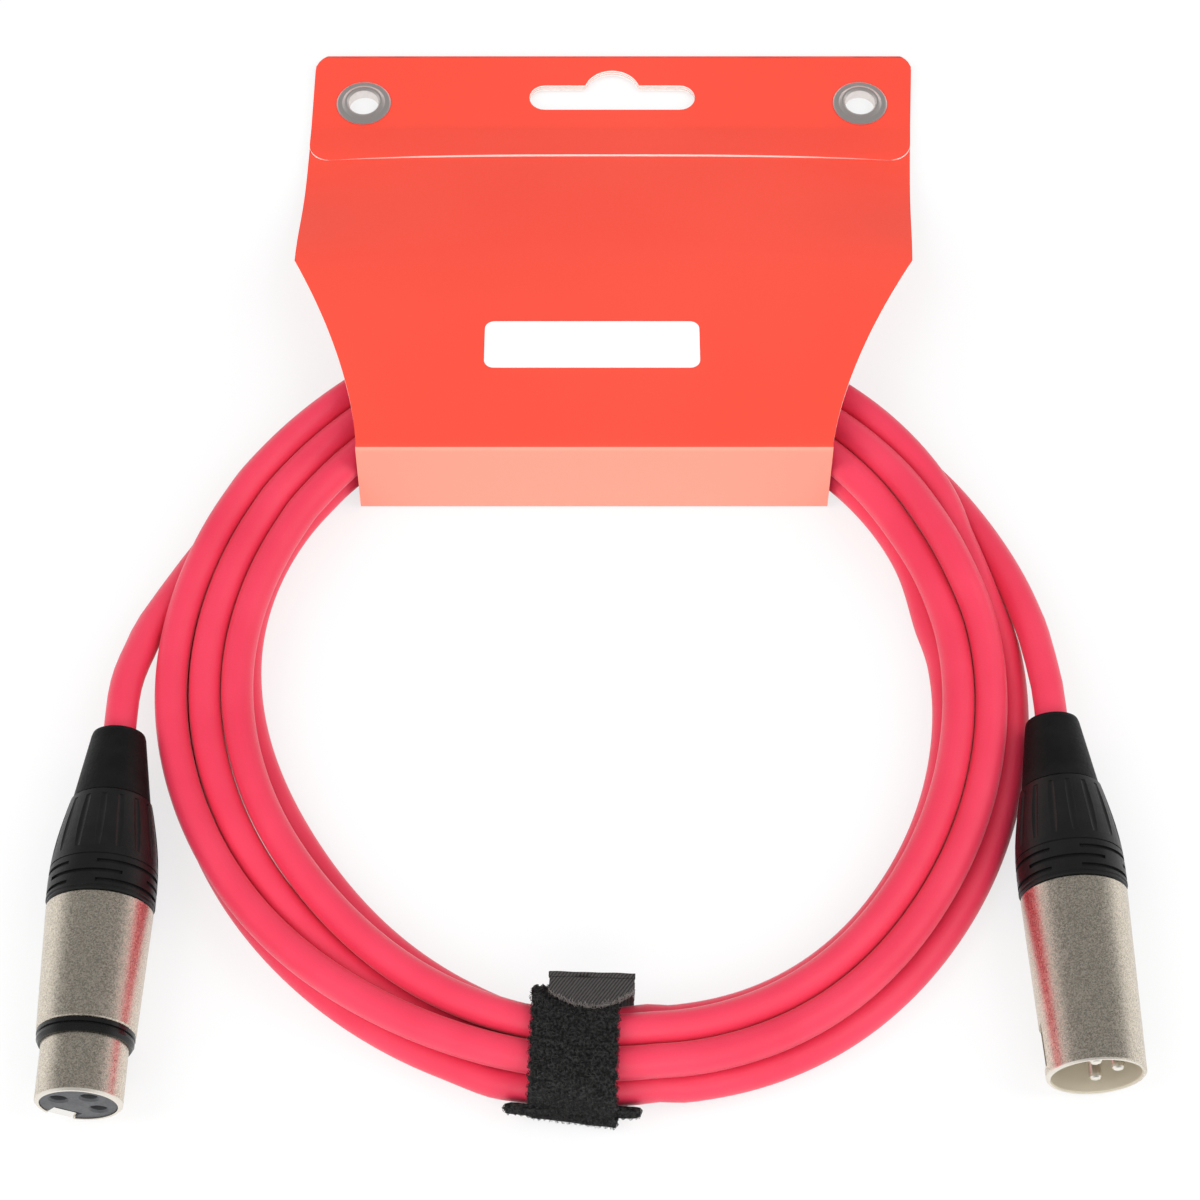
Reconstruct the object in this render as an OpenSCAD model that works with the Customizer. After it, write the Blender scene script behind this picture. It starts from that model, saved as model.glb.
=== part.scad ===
// Balanced microphone cable, wound into a flat coil, tied with a hook-and-loop strap and held in a folded hang card.
// Lengths are in millimetres, angles in degrees. +Z is up, the floor is z = 0, and both connectors point along -Y.
// "Reach" is a distance from the centre of the coil, along +Y in the card and outwards in the strap.
// "Station" is a distance along a connector, from the cable end of its boot towards its mating face.

/* [Cable] */
// Outside diameter of the cable jacket
cable_d = 6.2; // [5.6:0.1:6.8]
// Diameter of each conductor inside the jacket
core_d = 1.4; // [1:0.1:1.6]
// Straight cable between a boot and the curved tail
cable_stub = 8; // [6:0.5:12]

/* [Coil] */
// Radius to the inside of the wound bundle
coil_r_in = 66.5; // [62:0.5:72]
// Strands side by side in the bundle's lowest layer
coil_strands = 3; // [2:1:3]
// Layers of strands in the bundle
coil_layers = 2; // [2:1:3]

/* [Connector shells] */
// Distance of the female boot's cable end from the middle of the coil, to its left
female_x = 89.3; // [88:0.1:110]
// Distance of the male boot's cable end from the middle of the coil, to its right
male_x = 88.4; // [88:0.1:110]
// Cable end of the female boot, behind or ahead of the coil's centre
female_y = -13.3; // [-30:0.1:0]
// Cable end of the male boot, behind or ahead of the coil's centre
male_y = -10.4; // [-30:0.1:0]
// Turn of the female connector's front away from the coil
female_turn = 1; // [0:0.1:3]
// Turn of the male connector's front away from the coil
male_turn = 2.1; // [0:0.1:3]
// Diameter of a shell where it meets the nut
shell_d_rear = 19.7; // [19:0.1:20]
// Diameter of a shell at its front end
shell_d_front = 18; // [17.8:0.1:19]
// Bore of a shell behind the mating face
shell_bore_d = 14; // [13.6:0.1:14.2]
// Length of the female shell between the nut and the step
female_body_len = 24.3; // [22:0.1:30]
// Diameter of the female nose, which enters a male shell
nose_d = 15.8; // [15.5:0.1:15.9]
// Length of the female nose
nose_len = 13.4; // [12.5:0.1:15]
// Length of the male shell between the nut and the rim
male_body_len = 35.3; // [33:0.1:40]
// Bore of the male shell around its pins
cavity_d = 16.2; // [16:0.1:16.6]
// Depth of the male shell's cavity
cavity_depth = 15; // [14:0.5:17]

/* [Contacts] */
// Radius of the circle that the contacts stand on
contact_circle_r = 4; // [3.8:0.1:4.1]
// Angle between neighbouring contacts
contact_step = 90; // [80:1:92]
// Direction of the middle contact in the female face
female_mid_angle = 54; // [0:1:90]
// Direction of the middle contact in the male face
male_mid_angle = 8; // [0:1:90]
// Diameter of a contact pin
pin_d = 2.4; // [2.2:0.1:2.4]
// Length that a pin stands out of its insert
pin_len = 14; // [11:0.5:14.5]
// Outside diameter of a contact socket
socket_d = 3.4; // [3.2:0.1:3.5]
// Bore of a contact socket
socket_bore_d = 2.5; // [2.45:0.05:2.6]
// Depth of the socket's bore
socket_depth = 11; // [9:0.5:12]

/* [Boot] */
// Length of the rubber relief that shows behind the nut
relief_len = 14.4; // [12:0.1:22]
// Diameter of the relief at its cable end
relief_tip_d = 10.4; // [9.5:0.1:12]
// Diameter of the relief at the nut
relief_base_d = 14.6; // [14.4:0.1:16]
// Length of the screwed nut
nut_len = 21.8; // [19:0.1:24]
// Largest diameter of the nut
nut_d = 20.1; // [20:0.1:21]
// Number of finger flutes round the nut
flute_count = 16; // [10:1:18]
// Width of a finger flute
flute_w = 2; // [1.4:0.1:3]
// Depth of a finger flute at its ends
flute_depth = 0.12; // [0.05:0.01:0.3]
// Rows of slots round the front of the nut
slot_rows = 3; // [0:1:3]
// Diameter of the screw thread between nut and shell
thread_d = 16.4; // [16:0.1:16.8]
// Length of the screw thread
thread_len = 8.3; // [6:0.1:9]
// Advance of the thread in one turn
thread_pitch = 1.5; // [1:0.1:2]

/* [Latch] */
// Width of the latch lever
latch_w = 5; // [4:0.1:5.4]
// Thickness of the latch lever
latch_t = 1.2; // [0.8:0.1:1.2]
// Inward travel of the latch when pressed
latch_travel = 1.2; // [0.8:0.1:1.2]
// Height of the latch hook above the nose
latch_hook = 0.6; // [0.4:0.1:0.8]
// Length of the push tab
push_tab_len = 10; // [7:0.5:11]

/* [Strap] */
// Width of the hook-and-loop strap
strap_w = 16; // [12:0.5:20]
// Thickness of the strap
strap_t = 1.2; // [1:0.1:1.5]
// Direction of the strap from the centre of the coil
strap_angle = -91.8; // [-120:0.1:-60]
// Length of the loose end that peels off
strap_tab_len = 8.6; // [6:0.1:12]
// Sideways shift of the loose end on the band
strap_shift = 2.4; // [0:0.1:4]
// How far the slotted head stands out on each side of the strap
strap_ear = 4.5; // [2:0.5:6]
// Length of the slotted head
strap_head_len = 5; // [4:0.5:8]

/* [Hang card] */
// Thickness of the card
card_t = 0.5; // [0.3:0.05:0.6]
// Reach of the card's top edge
card_reach = 160.9; // [155:0.1:175]
// Width of the card along its spine
card_spine_w = 94.6; // [80:0.1:96]
// Width of the card at its shoulders
card_shoulder_w = 128.4; // [110:0.1:132]
// Reach of the shoulders
card_shoulder_reach = 96; // [90:0.5:105]
// Width of the card along its top edge
card_top_w = 132; // [120:0.1:140]
// Roundness of the side flare, where 1 is straight
card_flare = 1.45; // [1:0.05:2]
// How much later the back panel flares than the front one
card_setback = 9; // [0:0.5:14]
// Height of the card's front crease above the bundle
card_rise = 5.2; // [3:0.1:8]
// How far the spine leans back over its height
spine_lean = 2; // [0:0.1:3]
// Sideways offset of the spine's middle
card_offset = 1; // [-1:0.1:1]
// Sideways drift of the outline for each millimetre of reach
card_drift = 0.037; // [-0.04:0.001:0.04]
// Length of the flap folded over the top edge
flap_len = 30.4; // [26:0.1:34]
// Radius of the card's corners
card_corner_r = 4.5; // [2:0.1:6]
// Width of the euro slot
slot_w = 36.4; // [32:0.1:40]
// Height of the euro slot
slot_h = 6.8; // [6:0.1:8]
// Width of the slot's middle bump
slot_bump_w = 12.5; // [10:0.1:14]
// Height of the slot's middle bump
slot_bump_h = 4.2; // [3:0.1:5]
// Distance from the top edge to the middle of the slot
slot_from_top = 12.2; // [10:0.1:14]

/* [Eyelets] */
// Distance from the card's sides to the eyelets
eyelet_inset = 11.5; // [9:0.1:16]
// Distance from the top edge to the eyelets
eyelet_from_top = 13.9; // [10:0.1:15]
// Hole through an eyelet
eyelet_hole_d = 6.6; // [5:0.1:7]
// Outside diameter of an eyelet's flange
eyelet_flange_d = 11.9; // [11:0.1:14]
// Wall of an eyelet's barrel
eyelet_wall = 0.4; // [0.3:0.05:0.6]
// Height of the eyelet's rolled rim above the card
eyelet_rim_h = 0.8; // [0.6:0.1:1]
// Height of the eyelet's turned-over foot under the card
eyelet_foot_h = 0.6; // [0.4:0.1:0.6]

/* [Label] */
// Width of the label
label_w = 43.6; // [30:0.1:60]
// Height of the label
label_h = 12.4; // [8:0.1:16]
// Thickness of the label
label_t = 0.12; // [0.08:0.01:0.2]
// Reach of the label's middle
label_reach = 72; // [66:0.5:80]
// Sideways position of the label's middle
label_x = 0.6; // [-10:0.1:10]
// Radius of the label's corners
label_corner_r = 2; // [1:0.1:3]

/* [Hidden] */
$fn = 72;

// clearances between neighbouring pieces
turn_gap = 0.1;    // between parts that turn or slide in each other
slide_gap = 0.2;   // beside the latch lever
jacket_gap = 0.15; // between the jacket and what the cable slides through
grip_gap = 0.05;   // between the jacket and the jaws that grip it
strap_gap = 0.3;   // between the strap and the bundle
layer_gap = 0.1;   // between layers of card and of strap
card_gap = 0.4;    // between the card's spine and the bundle
label_gap = 0.03;  // adhesive under the label
eps = 0.01;

// the bundle
coil_w = coil_strands * cable_d;
coil_h = coil_layers * cable_d;
coil_r_out = coil_r_in + coil_w;
coil_z = strap_t + 0.2;
coil_top = coil_z + coil_h;

// the strap's loop round the bundle
strap_r_in = sqrt(pow(coil_r_in, 2) - pow(strap_w / 2, 2)) - strap_gap;
strap_r_out = coil_r_out + strap_gap;
strap_under_top = coil_top + strap_gap;
strap_reach = strap_r_out + 2 * strap_t;
strap_band_top = strap_under_top + strap_t;
strap_top = strap_band_top + layer_gap + strap_t;
strap_bend_r = 3;
strap_hinge_r = strap_r_in - strap_t;

// the coil's centre lies where the whole part, out to the corner of the turned strap's head, is centred on the origin
coil_y = (strap_reach + 0.3 - card_reach) / 2;

// stations along a connector
nut_at = relief_len;
shell_at = relief_len + nut_len;
stem_at = shell_at - thread_len;
step_at = shell_at + female_body_len;
face_at = step_at + nose_len;
rim_at = shell_at + male_body_len;
cavity_at = rim_at - cavity_depth;

shell_bore_r = shell_bore_d / 2;
thread_r = thread_d / 2;
nose_r = nose_d / 2;
cavity_r = cavity_d / 2;
axis_z = nut_d / 2;

// inside a nut
lip_t = 1.5;
lip_r = relief_base_d / 2 - 2.1;
flange_t = 2;
flange_r = relief_base_d / 2 - 0.7;
flange_at = nut_at + turn_gap + lip_t + turn_gap;
nut_cavity_r = max(flange_r + 0.3, shell_bore_r + 0.2);
chuck_at = flange_at + flange_t + 0.3;
chuck_len = 15;
chuck_r = shell_bore_r - turn_gap;
cable_end_at = chuck_at + 12;

// inserts and contacts
insert_len_behind = 14.3;
insert_r = shell_bore_r - turn_gap;
cup_len = 3;
cup_r = 1.5;
cup_bore_r = 1;
pin_r = pin_d / 2;
pin_shank_r = cup_r;
male_flange_t = 1.95;
male_insert_at = cavity_at - insert_len_behind;
female_insert_at = shell_at + 5.5;
female_insert_end = face_at - 0.2;
socket_front = female_insert_end - 2.3;
socket_entry_r = socket_bore_d / 2 + 0.25;
female_angles = [for (i = [-1 : 1]) female_mid_angle + i * contact_step];
male_angles = [for (i = [-1 : 1]) male_mid_angle + i * contact_step];

// the latch lies opposite the middle contact
latch_angle = female_mid_angle + 180;
key_angle = male_mid_angle + 180;
lever_top = sqrt(pow(nose_r, 2) - pow(latch_w / 2, 2)) - turn_gap;
lever_bottom = lever_top - latch_t;
lever_at = shell_at + 9;
lever_end = face_at - 0.6;
push_tab_at = shell_at + 11.8;
push_tab_top = lerp(shell_d_rear, shell_d_front, (push_tab_at - shell_at) / female_body_len) / 2 + 0.4;
latch_face = lever_bottom - 1;
channel_floor = lever_bottom - latch_travel - slide_gap;
spring_len = 9;
spring_r = 9;
spring_t = 0.25;
spring_drop = 1.4;
window_from_rim = 2;
window_len = 8;

// the card
sheet_z = card_t / 2;
sheet_pitch = card_t + layer_gap;
header_z = sheet_z + eyelet_foot_h;
panel_end_z = header_z + sheet_pitch;
flap_z = header_z + 2 * sheet_pitch;
fold_r = sheet_pitch;
fold_reach = card_reach - fold_r - card_t / 2;
flap_reach = card_reach - flap_len;
header_reach = card_reach - eyelet_from_top - eyelet_flange_d / 2 - 0.5;
panel_end_reach = fold_reach - 2;
joggle_reach = header_reach - 20;
crease_z = coil_top + card_rise;
spine_end_x = card_spine_w / 2 + abs(card_offset);
spine_reach = sqrt(pow(coil_r_in - card_gap, 2) - pow(spine_end_x, 2)) - card_t - max(0, spine_lean - 1.6);
crease_reach = spine_reach + spine_lean;
eyelet_reach = card_reach - eyelet_from_top;
slot_reach = card_reach - slot_from_top;
flap_top = flap_z + card_t / 2;

// curved stretch of each tail, from its boot to where it lies in the bundle, measured from the coil's centre
female_route = [[-89.16, -5.3, 10.05], [-88.5, 0.5, 9.6], [-87, 6.5, 8.7], [-85.1, 13, 7.5], [-82.4, 19.5, 6.3],
    [-79, 25.6, 5.3], [-74.9, 31.4, 4.7], [-70.3, 37.4, 4.6], [-65.4, 43.6, 4.6], [-60.2, 50, 4.6]];
male_route = [[88.1, -2.4, 10.05], [87.5, 4, 9.2], [86, 12, 8], [83.7, 20.5, 6.8], [80.5, 29, 5.8],
    [76.4, 37.5, 5], [71.3, 45.6, 4.6], [65.3, 52.6, 4.5], [58.7, 58.6, 4.6], [51.6, 63.8, 4.6]];
tail_sides = 10;

function lerp(a, b, t) = a + (b - a) * t;
function unit(v) = v / norm(v);

// Direction of a route at one of its points; the first point keeps the direction of the boot
function heading(route, i, turn) =
    i == 0 ? [-sin(turn), cos(turn), 0] : unit(route[min(i + 1, len(route) - 1)] - route[i - 1]);

// Points round a tube at one point of its route
function tube_ring(route, i, r, turn) =
    let (ahead = heading(route, i, turn), side = unit(cross(ahead, [0, 0, 1])), up = cross(side, ahead))
    [for (k = [0 : tail_sides - 1]) let (a = 360 * k / tail_sides) route[i] + r * (cos(a) * side + sin(a) * up)];

// Both sides of a bent sheet whose middle line is a path, with mitred bends
function sheet_normal(path, i) =
    let (last = len(path) - 1,
         p = i == 0 ? unit(path[1] - path[0]) : unit(path[i] - path[i - 1]),
         q = i == last ? p : unit(path[i + 1] - path[i]),
         middle = unit([-(p[1] + q[1]), p[0] + q[0]]))
    middle / (middle * [-p[1], p[0]]);
function sheet_side(path, d) = [for (i = [0 : len(path) - 1]) path[i] + d * sheet_normal(path, i)];
function reversed(list) = [for (i = [len(list) - 1 : -1 : 0]) list[i]];

// Height of the front panel's middle line at a reach between the crease and the header
panel_steps = 12;
function panel_z(reach) =
    let (t = (header_reach - reach) / (header_reach - crease_reach))
    panel_end_z + (crease_z - panel_end_z) * sin(90 * t);
function panel_reach(i) = lerp(header_reach, crease_reach, i / panel_steps);

// Middle of the card's outline, and half of its width, at a reach
function card_middle(reach) = card_offset + card_drift * (reach - spine_reach);
function card_half(reach) =
    reach < card_shoulder_reach
    ? card_spine_w / 2 + (card_shoulder_w - card_spine_w) / 2
        * pow(max(0, (reach - crease_reach) / (card_shoulder_reach - crease_reach)), card_flare)
    : lerp(card_shoulder_w, card_top_w, (reach - card_shoulder_reach) / (card_reach - card_shoulder_reach)) / 2;

// One side of the card's outline, from a reach up to its rounded top corner
flare_steps = 10;
corner_steps = 6;
function card_side(side) = concat(
    [for (reach = [spine_reach - 5, crease_reach]) outline_point(side, reach, reach)],
    [for (i = [1 : flare_steps]) let (reach = lerp(crease_reach, card_shoulder_reach, i / flare_steps))
        outline_point(side, reach, reach)],
    top_corner(side));
function outline_point(side, reach, width_reach) = [card_middle(reach) + side * card_half(width_reach), reach];

// One side of the back panel, whose flare comes later, so that the front panel hides it
function back_side(side) = concat(
    [for (reach = [spine_reach - 5, crease_reach]) outline_point(side, reach, reach)],
    [for (i = [0 : flare_steps]) let (reach = lerp(crease_reach, card_shoulder_reach, i / flare_steps))
        outline_point(side, reach + card_setback, reach)],
    [for (reach = [card_shoulder_reach + card_setback + 2, card_reach]) outline_point(side, reach, reach)]);
function top_corner(side) =
    [for (i = [0 : corner_steps]) let (a = 90 * i / corner_steps, reach = card_reach - card_corner_r * (1 - sin(a)))
        [card_middle(reach) + side * (card_half(reach) - card_corner_r * (1 - cos(a))), reach]];
function flap_corner(side) =
    [for (i = [0 : corner_steps]) let (a = 90 * i / corner_steps, reach = flap_reach + card_corner_r * (1 - cos(a)))
        [card_middle(reach) + side * (card_half(reach) - card_corner_r * (1 - sin(a))), reach]];

// Places a piece drawn along +Z from station 0 on a connector's axis
module on_female_axis() {
    translate([-female_x, coil_y + female_y, axis_z]) rotate([0, 0, -female_turn]) rotate([90, 0, 0]) children();
}
module on_male_axis() {
    translate([male_x, coil_y + male_y, axis_z]) rotate([0, 0, male_turn]) rotate([90, 0, 0]) children();
}
module at_coil() { translate([0, coil_y, 0]) children(); }

// Solid of revolution from [radius, station] points
module turned(points) { rotate_extrude() polygon(points); }
module rod(from, to, d) {
    way = to - from;
    translate(from)
        rotate([0, acos(way[2] / norm(way)), atan2(way[1], way[0])])
            cylinder(h = norm(way), d = d);
}
module rounded_box(low, high, r) {
    translate([low[0] + r, low[1]]) square([high[0] - low[0] - 2 * r, high[1] - low[1]]);
    translate([low[0], low[1] + r]) square([high[0] - low[0], high[1] - low[1] - 2 * r]);
    for (x = [low[0] + r, high[0] - r], y = [low[1] + r, high[1] - r]) translate([x, y]) circle(r);
}
// Bar across a connector between two radii, along one direction from its axis
module radial_bar(angle, r0, r1, w, from, to) {
    rotate([0, 0, angle]) translate([r0, -w / 2, from]) cube([r1 - r0, w, to - from]);
}
module at_contact(angle) { rotate([0, 0, angle]) translate([contact_circle_r, 0, 0]) children(); }

// ---- cable ----

// Every layer has one strand fewer than the layer below it, and lies in its grooves
module coil_section() {
    function lane(i, row) = [coil_r_in + (i + 0.5 + row / 2) * cable_d, coil_z + (row + 0.5) * cable_d];
    for (row = [0 : coil_layers - 1]) {
        last = coil_strands - 1 - row;
        for (i = [0 : last]) translate(lane(i, row)) circle(d = cable_d);
        translate(lane(0, row) - [0, cable_d / 4]) square([last * cable_d, cable_d / 2]);
        if (row > 0) polygon([lane(0, row - 1), lane(last + 1, row - 1), lane(last, row), lane(0, row)]);
    }
}
module cable_coil() {
    color("crimson") at_coil() rotate_extrude() coil_section();
}
module tail(route, turn) {
    rings = len(route);
    points = [for (i = [0 : rings - 1]) each tube_ring(route, i, cable_d / 2, turn)];
    walls = [for (i = [0 : rings - 2], k = [0 : tail_sides - 1])
        let (a = i * tail_sides, n = (k + 1) % tail_sides)
        [a + k, a + n, a + n + tail_sides, a + k + tail_sides]];
    back = [for (k = [0 : tail_sides - 1]) tail_sides - 1 - k];
    front = [for (k = [0 : tail_sides - 1]) (rings - 1) * tail_sides + k];
    color("crimson") at_coil() polyhedron(points, concat([back, front], walls));
}
module cable_tail_female() { tail(female_route, -female_turn); }
module cable_tail_male() { tail(male_route, male_turn); }
module cable_end() {
    color("crimson") translate([0, 0, -cable_stub]) cylinder(h = cable_stub + cable_end_at, d = cable_d);
}
module cable_end_female() { on_female_axis() cable_end(); }
module cable_end_male() { on_male_axis() cable_end(); }
module conductors(angles, cups_at) {
    inner_r = cable_d / 2 - 1.9;
    for (i = [0 : 2]) color(["white", "black", "silver"][i])
        rod([inner_r * cos(angles[i]), inner_r * sin(angles[i]), cable_end_at + 0.3],
            [contact_circle_r * cos(angles[i]), contact_circle_r * sin(angles[i]), cups_at - 0.05], core_d);
}
module female_conductors() { on_female_axis() conductors(female_angles, female_insert_at - cup_len); }
module male_conductors() { on_male_axis() conductors(male_angles, male_insert_at - cup_len); }

// ---- what both connectors share ----

// Outline of a shell behind its mating end: bore, threaded stem and shoulder
function shell_rear() = concat(
    [[shell_bore_r, stem_at]],
    [for (i = [0 : floor(thread_len / thread_pitch) - 1], half = [0, 1])
        [thread_r - half * 0.3, stem_at + (i + 0.5 * half) * thread_pitch]],
    [for (i = [floor(thread_len / thread_pitch)]) [thread_r, stem_at + i * thread_pitch]],
    [[thread_r, shell_at], [shell_d_rear / 2 - 0.3, shell_at], [shell_d_rear / 2, shell_at + 0.3]]);

module chuck() {
    color("whitesmoke") difference() {
        turned([[cable_d / 2 + grip_gap, chuck_at], [chuck_r - 1.3, chuck_at], [chuck_r, chuck_at + 2.6],
            [chuck_r, chuck_at + chuck_len], [cable_d / 2 + grip_gap, chuck_at + chuck_len]]);
        for (a = [45, 135]) rotate([0, 0, a])
            translate([-shell_bore_r, -0.6, chuck_at - eps]) cube([2 * shell_bore_r, 1.2, 8]);
    }
}
module relief() {
    bore = cable_d / 2 + jacket_gap;
    tip = relief_tip_d / 2;
    base = relief_base_d / 2;
    color([0.11, 0.11, 0.12]) turned([[bore, 0.4], [bore + 0.4, 0], [tip - 0.8, 0], [tip - 0.2, 0.25], [tip, 0.9],
        [base, nut_at],
        [lip_r - turn_gap, nut_at], [lip_r - turn_gap, flange_at], [flange_r, flange_at],
        [flange_r, flange_at + flange_t], [bore, flange_at + flange_t]]);
}
module nut() {
    rear = nut_at + turn_gap;
    rear_r = relief_base_d / 2 + 0.3;
    full_r = nut_d / 2;
    end = shell_at - turn_gap;
    swell_len = 0.78 * nut_len;
    swell_steps = 8;
    function swell_r(at) = rear_r + (full_r - rear_r) * sin(90 * min(1, (at - rear) / swell_len));
    flute_from = rear + 1.2;
    flute_to = rear + 0.58 * nut_len;
    row_at = end - 2.1;
    row_pitch = 1.9;
    row_w = 0.7;
    line_at = rear + 0.66 * nut_len;
    color([0.13, 0.13, 0.14]) difference() {
        turned(concat(
            [[lip_r, rear], [rear_r - 0.3, rear]],
            [for (i = [0 : swell_steps]) let (at = rear + 0.3 + (swell_len - 0.3) * i / swell_steps) [swell_r(at), at]],
            [[full_r, end - 0.9], [full_r - 0.2, end - 0.8], [full_r - 0.2, end - 0.3], [full_r - 0.5, end],
             [thread_r + turn_gap, end], [thread_r + turn_gap, stem_at - 0.7], [nut_cavity_r, stem_at - 0.7],
             [nut_cavity_r, rear + lip_t], [lip_r, rear + lip_t]]));
        for (i = [0 : flute_count - 1]) rotate([0, 0, 360 * i / flute_count])
            rod([swell_r(flute_from) + flute_w / 2 - flute_depth, 0, flute_from],
                [swell_r(flute_to) + flute_w / 2 - flute_depth, 0, flute_to], flute_w);
        translate([0, 0, line_at]) rotate_extrude() translate([swell_r(line_at) - 0.15, 0]) square([1, 0.3]);
        for (row = [0 : 1 : slot_rows - 1], k = [0 : 2]) rotate([0, 0, 120 * k + 60 * (row % 2)])
            translate([0, 0, row_at - row * row_pitch]) rotate_extrude(angle = 88)
                translate([full_r - 0.5, 0]) square([1, row_w]);
    }
}
module female_chuck() { on_female_axis() chuck(); }
module male_chuck() { on_male_axis() chuck(); }
module female_relief() { on_female_axis() relief(); }
module male_relief() { on_male_axis() relief(); }
module female_nut() { on_female_axis() nut(); }
module male_nut() { on_male_axis() nut(); }

// ---- female connector ----

module female_shell() {
    channel_w = latch_w + 2 * slide_gap;
    color("silver") on_female_axis() difference() {
        turned(concat(shell_rear(),
            [[shell_d_front / 2, step_at - 0.4], [shell_d_front / 2 - 0.4, step_at], [nose_r, step_at],
             [nose_r, face_at - 0.4], [nose_r - 0.4, face_at], [shell_bore_r, face_at]]));
        radial_bar(latch_angle, shell_bore_r - 2, lever_top + turn_gap, channel_w, lever_at - 0.4, face_at + 1);
        radial_bar(latch_angle, shell_bore_r - 2, nose_r + 2, channel_w, step_at + eps, face_at + 1);
        radial_bar(latch_angle, shell_bore_r - 2, shell_d_rear / 2 + 2, channel_w,
            push_tab_at - 0.3, push_tab_at + push_tab_len + 0.3);
    }
}
module female_insert() {
    channel_w = latch_w + 2 * slide_gap;
    color("dimgray") on_female_axis() difference() {
        translate([0, 0, female_insert_at]) cylinder(h = female_insert_end - female_insert_at, r = insert_r);
        for (a = female_angles) at_contact(a) {
            translate([0, 0, female_insert_at - eps])
                cylinder(h = socket_front - female_insert_at + 0.1, r = socket_d / 2 + grip_gap);
            translate([0, 0, socket_front]) cylinder(h = 5, r = socket_entry_r);
            translate([0, 0, female_insert_end - 0.4]) cylinder(h = 0.4 + eps, r1 = socket_entry_r,
                r2 = socket_entry_r + 0.4);
        }
        radial_bar(latch_angle, channel_floor, 9, channel_w, lever_at - 0.4, face_at);
        radial_bar(latch_angle, latch_face - latch_travel - slide_gap, 9, channel_w, lever_end - 2.6, face_at);
        radial_bar(latch_angle, lever_bottom - spring_drop - latch_travel - 0.3, 9, channel_w,
            push_tab_at + push_tab_len / 2 - spring_len / 2 - 0.3, push_tab_at + push_tab_len / 2 + spring_len / 2 + 0.3);
    }
}
module female_sockets() {
    cup_at = female_insert_at - cup_len;
    color("gold") on_female_axis() for (a = female_angles) at_contact(a)
        turned([[0, cup_at + 2.5], [cup_bore_r, cup_at + 2.5], [cup_bore_r, cup_at], [cup_r, cup_at],
            [cup_r, female_insert_at], [socket_d / 2, female_insert_at + 0.2], [socket_d / 2, socket_front - 0.1],
            [socket_bore_d / 2, socket_front - 0.1], [socket_bore_d / 2, socket_front - 0.1 - socket_depth],
            [0, socket_front - 0.1 - socket_depth]]);
}
module female_latch() {
    tab_end = push_tab_at + push_tab_len;
    hook_top = nose_r + latch_hook;
    color("silver") on_female_axis() rotate([0, 0, latch_angle]) rotate([90, 0, 0])
        translate([0, 0, -latch_w / 2]) linear_extrude(latch_w) polygon([[lever_bottom, lever_at],
            [lever_top, lever_at], [lever_top, push_tab_at], [push_tab_top, push_tab_at + 0.8],
            [push_tab_top, tab_end - 0.3], [lever_top, tab_end], [lever_top, lever_end - 7.8],
            [hook_top, lever_end - 6.8], [hook_top, lever_end - 4.3], [nose_r, lever_end], [latch_face, lever_end],
            [latch_face, lever_end - 1.2], [lever_bottom, lever_end - 2.2]]);
}
module female_latch_spring() {
    middle = push_tab_at + push_tab_len / 2;
    floor_r = lever_bottom - spring_drop;
    color("gray") on_female_axis() rotate([0, 0, latch_angle]) rotate([90, 0, 0])
        translate([0, 0, -latch_w * 0.3]) linear_extrude(latch_w * 0.6) intersection() {
            translate([floor_r + spring_r, middle]) difference() {
                circle(spring_r);
                circle(spring_r - spring_t);
            }
            translate([floor_r - 1, middle - spring_len / 2]) square([spring_drop + 1 - eps, spring_len]);
        }
}
module female_ring() {
    r0 = nose_r + 0.05;
    r1 = shell_d_front / 2 - 0.1;
    at = step_at + 0.05;
    color([0.1, 0.1, 0.1]) on_female_axis()
        turned([[r0, at], [r1, at], [r1, at + 0.7], [r1 - 0.35, at + 0.85], [r1 - 0.35, at + 1],
            [r1 - 0.1, at + 1.15], [r1 - 0.1, at + 1.7], [r1 - 0.5, at + 2.45], [r0, at + 2.45]]);
}

// ---- male connector ----

module male_shell() {
    rim_r = shell_d_front / 2;
    color("silver") on_male_axis() difference() {
        turned(concat(shell_rear(),
            [[rim_r, rim_at - 0.3], [rim_r - 0.3, rim_at], [cavity_r + 0.2, rim_at], [cavity_r, rim_at - 0.3],
             [cavity_r, cavity_at - 2], [shell_bore_r, cavity_at - 2]]));
        radial_bar(key_angle, cavity_r - 2, shell_d_rear / 2 + 1, latch_w + 2 * slide_gap,
            rim_at - window_from_rim - window_len, rim_at - window_from_rim);
    }
}
module male_insert() {
    color([0.55, 0.5, 0.42]) on_male_axis() difference() {
        turned([[0, male_insert_at], [insert_r, male_insert_at], [insert_r, cavity_at - male_flange_t],
            [cavity_r - turn_gap, cavity_at - male_flange_t], [cavity_r - turn_gap, cavity_at], [0, cavity_at]]);
        for (a = male_angles) at_contact(a) translate([0, 0, male_insert_at - eps])
            cylinder(h = cavity_at - male_insert_at + 2 * eps, r = pin_shank_r + grip_gap);
    }
}
module male_pins() {
    cup_at = male_insert_at - cup_len;
    base = cavity_at - 0.05;
    tip = cavity_at + pin_len;
    color("silver") on_male_axis() for (a = male_angles) at_contact(a)
        turned([[0, cup_at + 2.5], [cup_bore_r, cup_at + 2.5], [cup_bore_r, cup_at], [cup_r, cup_at],
            [pin_shank_r, base], [pin_r, base],
            [pin_r, tip - 0.9], [pin_r * 0.92, tip - 0.45], [pin_r * 0.7, tip - 0.12], [pin_r * 0.35, tip], [0, tip]]);
}

// ---- hang card ----

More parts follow.
